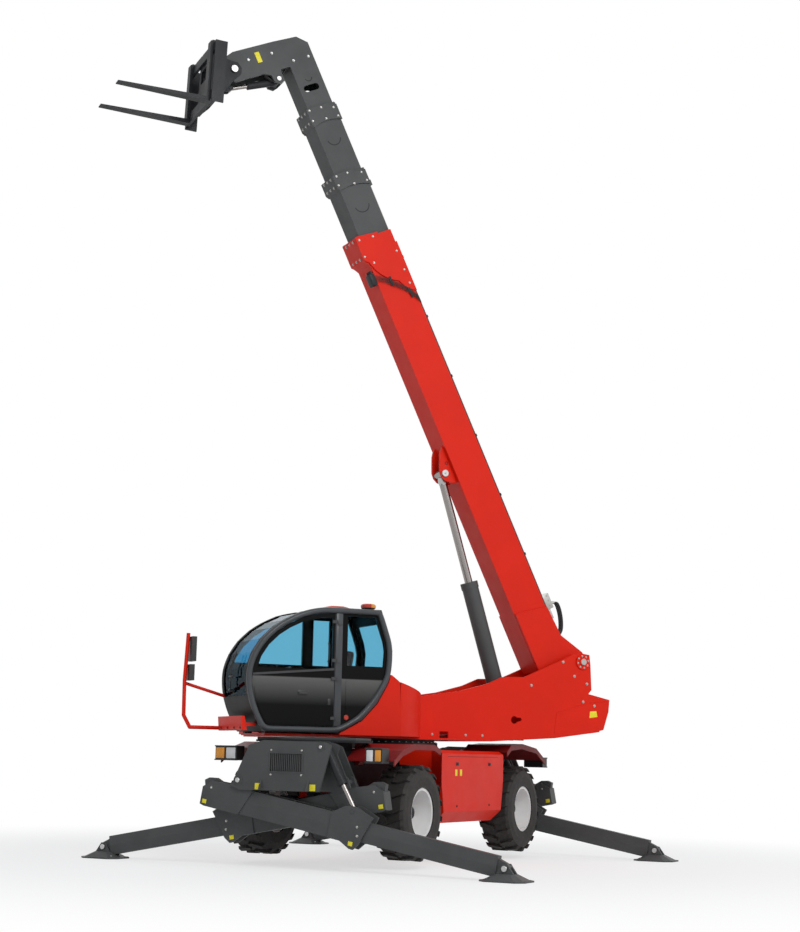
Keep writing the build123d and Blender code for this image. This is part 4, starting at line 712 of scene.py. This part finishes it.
def soft_pad(name, limits, lean=0.0, pivot=(0.0, 0.0)):
    """Stuffed pad blown up from a rounded block by cloth pressure, its movement capped."""
    most, steps = 0.012, 20     # furthest that cloth may move, and how long it is simulated
    (x0, x1), (y0, y1), (z0, z1) = limits
    shape = Shape(Matrix.Identity(4))
    shape.box((x0 + 0.01, x1 - 0.01), (y0 + 0.01, y1 - 0.01), (z0 + 0.008, z1 - 0.012), 0.03)
    spin = (Matrix.Translation((0, pivot[0], pivot[1])) @ Matrix.Rotation(lean, 4, "X")
            @ Matrix.Translation((0, -pivot[0], -pivot[1])))
    shape.bm.transform(UPPER @ spin)
    mesh = bpy.data.meshes.new(name)
    shape.bm.to_mesh(mesh)
    shape.bm.free()
    obj = link(name, mesh)
    remesh = obj.modifiers.new("remesh", "REMESH")
    remesh.mode = "VOXEL"
    remesh.voxel_size = 0.009

    def bake():
        shown = obj.evaluated_get(bpy.context.evaluated_depsgraph_get())
        return bpy.data.meshes.new_from_object(shown)

    bpy.context.view_layer.update()
    obj.data = bake()
    obj.modifiers.clear()
    rest = [v.co.copy() for v in obj.data.vertices]
    soft = obj.modifiers.new("cloth", "CLOTH")
    soft.settings.use_pressure = True
    soft.settings.uniform_pressure_force = 4.0
    soft.settings.effector_weights.gravity = 0.0
    for step in range(1, steps + 1):
        bpy.context.scene.frame_set(step)
    puffed = bake()
    obj.modifiers.clear()
    for v, old in zip(puffed.vertices, rest):
        move = v.co - old
        if move.length > most:
            v.co = old + move.normalized() * most
    obj.data = puffed
    bpy.context.scene.frame_set(1)
    obj.modifiers.new("smooth", "SUBSURF").levels = 1
    obj.modifiers["smooth"].render_levels = 1
    for face in obj.data.polygons:
        face.use_smooth = True
    obj.data.materials.clear()
    obj.data.materials.append(M["cloth"])
    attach(obj, "turret")


def seat():
    """Driver's seat: sprung box, stuffed cushion and back rest, in place of the CAD seat."""
    shape = Shape(UPPER)
    shape.box((0.62, 0.94), (-1.66, -1.36), (1.67, 1.86), 0.012)
    for k in range(6):
        inset, z = 0.004 * (k % 2), 0.02 * k
        shape.box((0.6 + inset, 0.96 - inset), (-1.68, -1.34), (1.86 + z, 1.876 + z), 0.006)
    shape.prism([(-1.17, 2.0), (-1.06, 2.0), (-0.955, 2.66), (-1.0, 2.66)], 0, 0.74, 0.82, 0.008)
    base = shape.done("seat_base", "plastic", "turret")
    soft_pad("seat_cushion", ((0.54, 1.02), (-1.69, -1.2), (1.985, 2.1)))
    soft_pad("seat_back", ((0.56, 1.0), (-1.19, -1.07), (2.11, 2.69)), -0.165, (-1.12, 2.11))
    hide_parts("cab_seat")


def roof_lamps():
    """Beacon in two colours on its base, and the low lens, in place of the CAD lamps."""
    x, y, foot, seat_z, top = 1.1, -0.87, 3.18, 3.21, 3.265
    shape = Shape(UPPER)
    shape.turned((x, y, foot), (x, y, seat_z), [(0.0, 0.05), (0.014, 0.05), (0.018, 0.085), (0.03, 0.09)], 36)
    base = shape.done("beacon_base", "plastic", "turret")
    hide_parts("cab_lamps")
    dome = [(0.0, 0.096), (0.03, 0.098), (0.045, 0.088), (0.052, 0.07), (0.055, 0.03)]
    for name, tone, one, two in (("beacon_front", "lampred", -0.97, -0.872),
                                 ("beacon_back", "amber", -0.868, -0.77)):
        shape = Shape(UPPER)
        shape.turned((x, y, seat_z), (x, y, top), dome, 48)
        bm = shape.bm
        for cut, keep in ((two, -1), (one, 1)):
            made = bmesh.ops.bisect_plane(bm, geom=bm.verts[:] + bm.edges[:] + bm.faces[:],
                                          plane_co=(x, cut, 3.2), plane_no=(0, -keep, 0), clear_outer=True)
            rim = [g for g in made["geom_cut"] if isinstance(g, bmesh.types.BMEdge)]
            if rim:
                bmesh.ops.contextual_create(bm, geom=rim)
        shape.done(name, tone, "turret")
    lens = [(-1.5, 3.17), (-1.46, 3.196), (-1.4, 3.208), (-1.24, 3.208), (-1.18, 3.196), (-1.13, 3.182),
            (-1.13, 3.17)]
    Shape(UPPER).prism(lens, 0, 1.03, 1.17, 0.006).done("roof_lens", "lampred", "turret")


def cab_ring():
    """Round ring tubes that edge the cab on both sides, with the pillar cover and reflector on the near one."""
    for x, name in ((1.262, "near"), (0.312, "far")):
        shape = Shape(UPPER)
        shape.sweep([(x, y, z) for y, z in CAB_RING_LINE + CAB_RING_LINE[:1]], 0.036, 14, 5)
        shape.done("cab_ring_tube_" + name, "ring", "turret")
    Shape(UPPER).box((1.24, 1.268), (-1.372, -1.28), (1.7, 3.12), 0.01).done("cab_pillar", "ring", "turret")
    shape = Shape(UPPER)
    shape.pin((CAB_SIDE, -1.205, 1.815), (1.266, -1.205, 1.815), 0.032)
    shape.done("cab_reflector", "lampred", "turret")


def cab_fittings():
    """Windscreen wiper, instrument pod with levers and pedals, bumper bolts and mirror glass."""
    shape = Shape(UPPER)
    screen = [(-2.555, 2.14), (-2.567, 2.3), (-2.56, 2.42), (-2.53, 2.52), (-2.5, 2.6)]
    shape.sweep([(0.72, y, z) for y, z in screen], 0.007)
    shape.sweep([(0.8, y - 0.012, z) for y, z in screen[1:]], 0.009)
    shape.box((0.7, 0.82), (-2.575, -2.553), (2.28, 2.3), 0.003)
    shape.pin((0.72, -2.5, 2.11), (0.72, -2.57, 2.13), 0.02)
    shape.done("wiper", "plastic", "turret")
    shape = Shape(UPPER)
    shape.box((0.66, 0.9), (-2.3, -2.18), (2.1, 2.24), 0.03)
    shape.pin((0.62, -2.0, 2.3), (0.5, -1.98, 2.36), 0.008)
    shape.sweep([(0.86, -2.06, 2.3), (0.95, -2.05, 2.33), (1.0, -2.03, 2.35)], 0.008)
    for x in (0.68, 0.8, 0.92):
        shape.box((x - 0.04, x + 0.04), (-2.12, -2.05), (1.7, 1.72), 0.005, Matrix.Rotation(0.5, 3, "X"))
    shape.done("cab_controls", "plastic", "turret")
    shape = Shape(UPPER)
    for x in (0.45, 0.7, 0.95, 1.18):
        shape.bolt((x, -2.562, 1.66), (0, -1, 0.1), 0.012)
    shape.done("bumper_bolts", "dark", "turret")
    shape = Shape(UPPER)
    for z0, z1 in ((2.48, 2.79), (2.24, 2.44)):
        y = -3.033 + (z1 - 2.242) * 27 / 592 + 0.084        # the mirrors' bar leans back by 27 in 592
        shape.box((0.258, 0.428), (y - 0.001, y + 0.0025), (z0 + 0.016, z1 - 0.016), 0.0008)
    shape.done("mirror_glass", "mirror", "turret")


def door_details():
    """Latch and grab bar of the door."""
    shape = Shape(UPPER)
    shape.box((CAB_SIDE, 1.258), (-1.86, -1.73), (2.066, 2.135), 0.004)
    shape.pin((1.256, -1.74, 2.1), (1.266, -1.74, 2.1), 0.012)
    shape.box((CAB_SIDE, 1.262), (-1.46, -1.42), (1.96, 2.04), 0.004)
    shape.done("door_latch", "plastic", "door")
    shape = Shape(UPPER)
    shape.sweep([(1.235, -1.46, 2.5), (1.275, -1.46, 2.53), (1.275, -1.46, 2.7), (1.235, -1.46, 2.73)], 0.009)
    shape.done("door_grab_bar", "dark", "door")


# ---- Undercarriage ------------------------------------------------------------
def ring_bolts():
    """Bolts round the slewing ring."""
    shape = Shape(CHASSIS)
    for a in angles(40):
        shape.bolt((0.578 * math.cos(a), 0.578 * math.sin(a), 1.535), (0, 0, 1), 0.011)
    shape.done("ring_bolts", "zinc", "chassis")


def side_box_details():
    """Seams, latches and blank plates on the side boxes' outer walls."""
    wall = 1.2
    for side in SIDES:
        name = "left" if side > 0 else "right"
        thin = (side * (wall - 0.001), side * (wall + 0.0015))
        shape = Shape(CHASSIS)
        shape.box(thin, (-0.78, 0.78), (1.36, 1.366), 0)
        shape.done("side_box_seams_" + name, "brown", "chassis")
        shape = Shape(CHASSIS)
        for y in (-0.5, 0.5):
            shape.box((side * wall, side * 1.206), (y - 0.04, y + 0.04), (1.25, 1.29), 0.003)
            shape.pin((side * 1.204, y, 1.27), (side * 1.211, y, 1.27), 0.014)
            shape.bolt((side * wall, y, 0.74), (side, 0, 0), 0.011)
        shape.done("side_box_latches_" + name, "dark", "chassis")
        shape = Shape(CHASSIS)
        for y0, y1 in ((-0.56, -0.5), (-0.42, -0.36)):
            shape.box(thin, (y0, y1), (1.12, 1.2), 0.0008)
        shape.done("side_box_blank_plates_" + name, "yellow", "chassis")


# Lamp housings of the CAD: corner, limits across, face, limits up, and which way they face along y.
LAMPS = (
    ("front_left", 0.93, 1.15, -2.48, 1.262, 1.44, -1), ("front_right", -1.19, -0.88, -2.48, 1.262, 1.44, -1),
    ("rear_left", 0.9, 1.19, 2.54, 1.236, 1.376, 1), ("rear_right", -1.19, -0.9, 2.54, 1.236, 1.376, 1),
)


def lamp_details():
    """Lenses and rims on the CAD's black lamp housings: head or tail lamp inside, turn signal outside."""
    edge = 0.014
    for name, x0, x1, y, z0, z1, facing in LAMPS:
        outer = 1 if x0 > 0 else -1
        inside, outside = (x0, x1) if outer > 0 else (x1, x0)
        split = inside + (outside - inside) * 0.52
        for piece, one, two, tone in (("lamp_lens_", inside, split, "white" if facing < 0 else "lampred"),
                                      ("turn_lens_", split, outside, "amber")):
            shape = Shape(CHASSIS)
            shape.box(sorted((one + outer * edge, two - outer * edge)),
                      sorted((y + facing * edge, y - facing * 0.002)), (z0 + 0.022, z1 - 0.022), 0.009)
            shape.done(piece + name, tone, "chassis")
        shape = Shape(CHASSIS)
        for za, zb in ((z0 - 0.002, z0 + edge), (z1 - edge, z1 + 0.002)):
            shape.box((x0 - 0.003, x1 + 0.003), sorted((y + facing * 0.02, y - facing * 0.03)), (za, zb), 0.005)
        shape.done("lamp_bezel_" + name, "plastic", "chassis")


def deck_cover():
    """Cover plate on the deck, under the turning upper structure."""
    deck = [(-0.7, -2.3), (0.7, -2.3), (0.7, -1.92), (0.41, -1.64), (-0.41, -1.64), (-0.7, -1.92)]
    Shape(CHASSIS).prism(deck, 2, 1.5235, 1.556, 0.006).done("deck_cover", "grey", "chassis")


def carrier_details():
    """Bolts, bright pin ends, blank plates and hoses on the outrigger carriers."""
    reach = 0.097 + 0.074 + 0.01 + 0.008 + 0.025    # from the plane between the beams to the carrier's face
    for name, spin, middle in (("front", 0.0, 2.537), ("rear", math.pi, 2.614)):
        place = CHASSIS @ Matrix.Rotation(spin, 4, "Z")
        face = -middle - reach
        shape = Shape(place)
        for x, z in ((-0.215, 1.395), (0.209, 1.395), (-0.215, 1.105), (0.209, 1.105)):
            shape.bolt((x, face, z), (0, -1, 0), 0.009)
        shape.done("carrier_bolts_" + name, "zinc", "chassis")
        shape = Shape(place)
        for x, z, radius in ((BEAM_PIN[0], BEAM_PIN[2], 0.03), (0.474, 1.44, 0.02)):
            shape.pin((x, face - 0.013, z), (x, face - 0.024, z), radius)
        shape.done("carrier_pins_" + name, "steel", "chassis")
        shape = Shape(place)
        for x in (-0.39, 0.37):
            shape.box((x - 0.04, x + 0.04), (face - 0.0025, face + 0.001), (0.925, 1.0), 0.0008)
        shape.done("carrier_blank_plates_" + name, "yellow", "chassis")
        shape = Shape(place)
        for k in range(3):
            x = -0.1 + 0.07 * k
            shape.sweep([(x, -middle + 0.22, 1.4), (x, -middle + 0.3, 1.45), (x, -middle + 0.4, 1.44),
                         (x, -middle + 0.46, 1.36)], 0.012)
        shape.done("carrier_hoses_" + name, "hose", "chassis")


# Plane of each outrigger beam, forward of the slewing axis, and the side that its foot reaches to (1 is left).
BEAM_PLANES = (
    ("front_left", 2.634, 1), ("front_right", 2.44, -1), ("rear_left", -2.517, 1), ("rear_right", -2.711, -1),
)


def outrigger_details():
    """Bolts, blank plates and hoses of the beams, and pins and bolts of the feet."""
    drop, lean = math.sin(BEAM_TILT), math.cos(BEAM_TILT)
    across = BEAM_PIN[0] + FOOT_ALONG * lean - FOOT_BELOW * drop
    up = BEAM_PIN[2] - FOOT_ALONG * drop - FOOT_BELOW * lean
    for corner, plane, side in BEAM_PLANES:
        base = CHASSIS @ Matrix.Translation((0, -plane, 0)) @ (Matrix.Identity(4) if side > 0 else HALF_TURN)
        place = base @ Matrix.Translation(BEAM_PIN) @ Matrix.Rotation(BEAM_TILT, 4, "Y")
        body = "beam_" + corner
        shape = Shape(place)
        for s in SIDES:
            for a, b in ((1.7, -0.2), (1.72, -0.3), (-0.38, -0.17)):
                shape.bolt((a, s * 0.084, b), (0, s, 0), 0.011)
        shape.done("beam_bolts_" + corner, "zinc", body)
        shape = Shape(place)
        for s in SIDES:
            for along, below in (((-0.475, -0.415), (-0.375, -0.325)), ((1.62, 1.68), (-0.43, -0.38))):
                shape.box(along, (s * 0.0835, s * 0.086), below, 0.0008)
        shape.done("beam_blank_plates_" + corner, "yellow", body)
        shape = Shape(place)
        shape.sweep([(0.3, -0.03, -0.088), (0.7, -0.03, -0.082), (1.1, -0.03, -0.084), (1.3, -0.03, -0.088)],
                    0.01, fine=4)
        for a in (0.4, 0.8, 1.2):
            shape.box((a - 0.015, a + 0.015), (-0.05, -0.01), (-0.1, -0.074), 0.003)
        shape.done("beam_hose_" + corner, "hose", body)
        shape = Shape(base)
        for s in SIDES:
            shape.pin((across, s * 0.072, up), (across, s * 0.08, up), 0.034)
            shape.bolt((across - 0.18, s * 0.12, 0.032), (0, 0, 1), 0.01)
        shape.done("foot_pin_" + corner, "steel", "leg_" + corner)


def wheel_details():
    """Hub caps and wheel nuts on every rim."""
    cap = [(0.0, 0.094), (0.012, 0.094), (0.026, 0.07), (0.04, 0.066), (0.05, 0.03)]
    for corner in CORNERS:
        along = 1 if corner.startswith("front") else -1
        side = 1 if corner.endswith("left") else -1
        turn = Matrix.Identity(4) if side > 0 else HALF_TURN
        place = CHASSIS @ Matrix.Translation((side * TRACK / 2, -along * WHEELBASE / 2, HUB_Z)) @ turn
        shape = Shape(place)
        for a in angles(10):
            shape.bolt((-0.087, 0.165 * math.cos(a), 0.165 * math.sin(a)), (1, 0, 0), 0.016)
        shape.done("wheel_nuts_" + corner, "zinc", "wheel_" + corner)
        shape = Shape(place)
        shape.turned((0.028, 0, 0), (0.09, 0, 0), cap, 36)
        for a in angles(8, 0.2):
            shape.bolt((0.04, 0.082 * math.cos(a), 0.082 * math.sin(a)), (1, 0, 0), 0.007)
        shape.done("hub_cap_" + corner, "dark", "wheel_" + corner)


for build in (
    boom_bolts, boom_embossing_shade, boom_band, boom_pipes, boom_valve, lift_bracket, lift_neck, head_details,
    turret_details, engine_details, hood_details, roof_lamps, cab_ring, cab_fittings, seat, door_details,
    ring_bolts, side_box_details, lamp_details, deck_cover, carrier_details, outrigger_details, wheel_details,
):
    build()


# ---- Floor and light ----------------------------------------------------------
def seen_rays(nt):
    """1 for rays that see the background: from the camera, in gloss and through panes."""
    path = add(nt, "ShaderNodeLightPath").outputs
    straight = combine(nt, "MAXIMUM", path["Is Camera Ray"], path["Is Transmission Ray"])
    return combine(nt, "MAXIMUM", straight, path["Is Glossy Ray"])


def make_floor():
    """Pale floor. Seen directly it runs from a shaded surface near the machine to plain white further out."""
    size, z = 60.0, -0.002
    mesh = bpy.data.meshes.new("floor")
    mesh.from_pydata([(-size, -size, z), (size, -size, z), (size, size, z), (-size, size, z)], [], [(0, 1, 2, 3)])
    floor = link("floor", mesh)
    material, nt, shader = tree("floor_pale")
    shader.inputs["Base Color"].default_value = (0.93, 0.93, 0.93, 1.0)
    shader.inputs["Roughness"].default_value = 0.9
    where = add(nt, "ShaderNodeTexCoord")
    length = add(nt, "ShaderNodeVectorMath", operation="LENGTH")
    nt.links.new(where.outputs["Object"], length.inputs[0])
    fade = remap(nt, length.outputs["Value"], 0.62, 1.0, 4.0, 11.0, "SMOOTHSTEP")
    bright = add(nt, "ShaderNodeEmission", Color=(1.0, 1.0, 1.0, 1.0))
    mix = add(nt, "ShaderNodeMixShader")
    nt.links.new(combine(nt, "MULTIPLY", fade, seen_rays(nt)), mix.inputs["Fac"])
    nt.links.new(shader.outputs["BSDF"], mix.inputs[1])
    nt.links.new(bright.outputs["Emission"], mix.inputs[2])
    nt.links.new(mix.outputs["Shader"], nt.nodes["Material Output"].inputs["Surface"])
    mesh.materials.append(material)


def make_light():
    """Sky light with a background seen as white, and three large lamps, all aimed at the machine's middle."""
    scene = bpy.context.scene
    scene.view_settings.view_transform = "Standard"
    world = bpy.data.worlds.new("world")
    scene.world = world
    world.use_nodes = True
    nt = world.node_tree
    back = nt.nodes["Background"]
    back.inputs["Color"].default_value = (0.9, 0.95, 1.0, 1.0)
    back.inputs["Strength"].default_value = 0.42
    white = add(nt, "ShaderNodeBackground", Color=(1.0, 1.0, 1.0, 1.0))
    mix = add(nt, "ShaderNodeMixShader")
    nt.links.new(seen_rays(nt), mix.inputs["Fac"])
    nt.links.new(back.outputs["Background"], mix.inputs[1])
    nt.links.new(white.outputs["Background"], mix.inputs[2])
    nt.links.new(mix.outputs["Shader"], nt.nodes["World Output"].inputs["Surface"])
    for name, spot, size, power in (
        ("key", (20.0, 0.0, 14.0), 9.0, 2100.0),
        ("fill", (14.0, 12.0, 10.0), 12.0, 260.0),
        ("rim", (-14.0, 4.0, 14.0), 10.0, 320.0),
    ):
        lamp = bpy.data.lights.new(name, "AREA")
        lamp.energy = power
        lamp.size = size
        obj = link(name, lamp)
        obj.location = at(*spot)
        obj.rotation_euler = (at(0.0, 0.0, 3.5) - obj.location).to_track_quat("-Z", "Y").to_euler()


make_floor()
make_light()
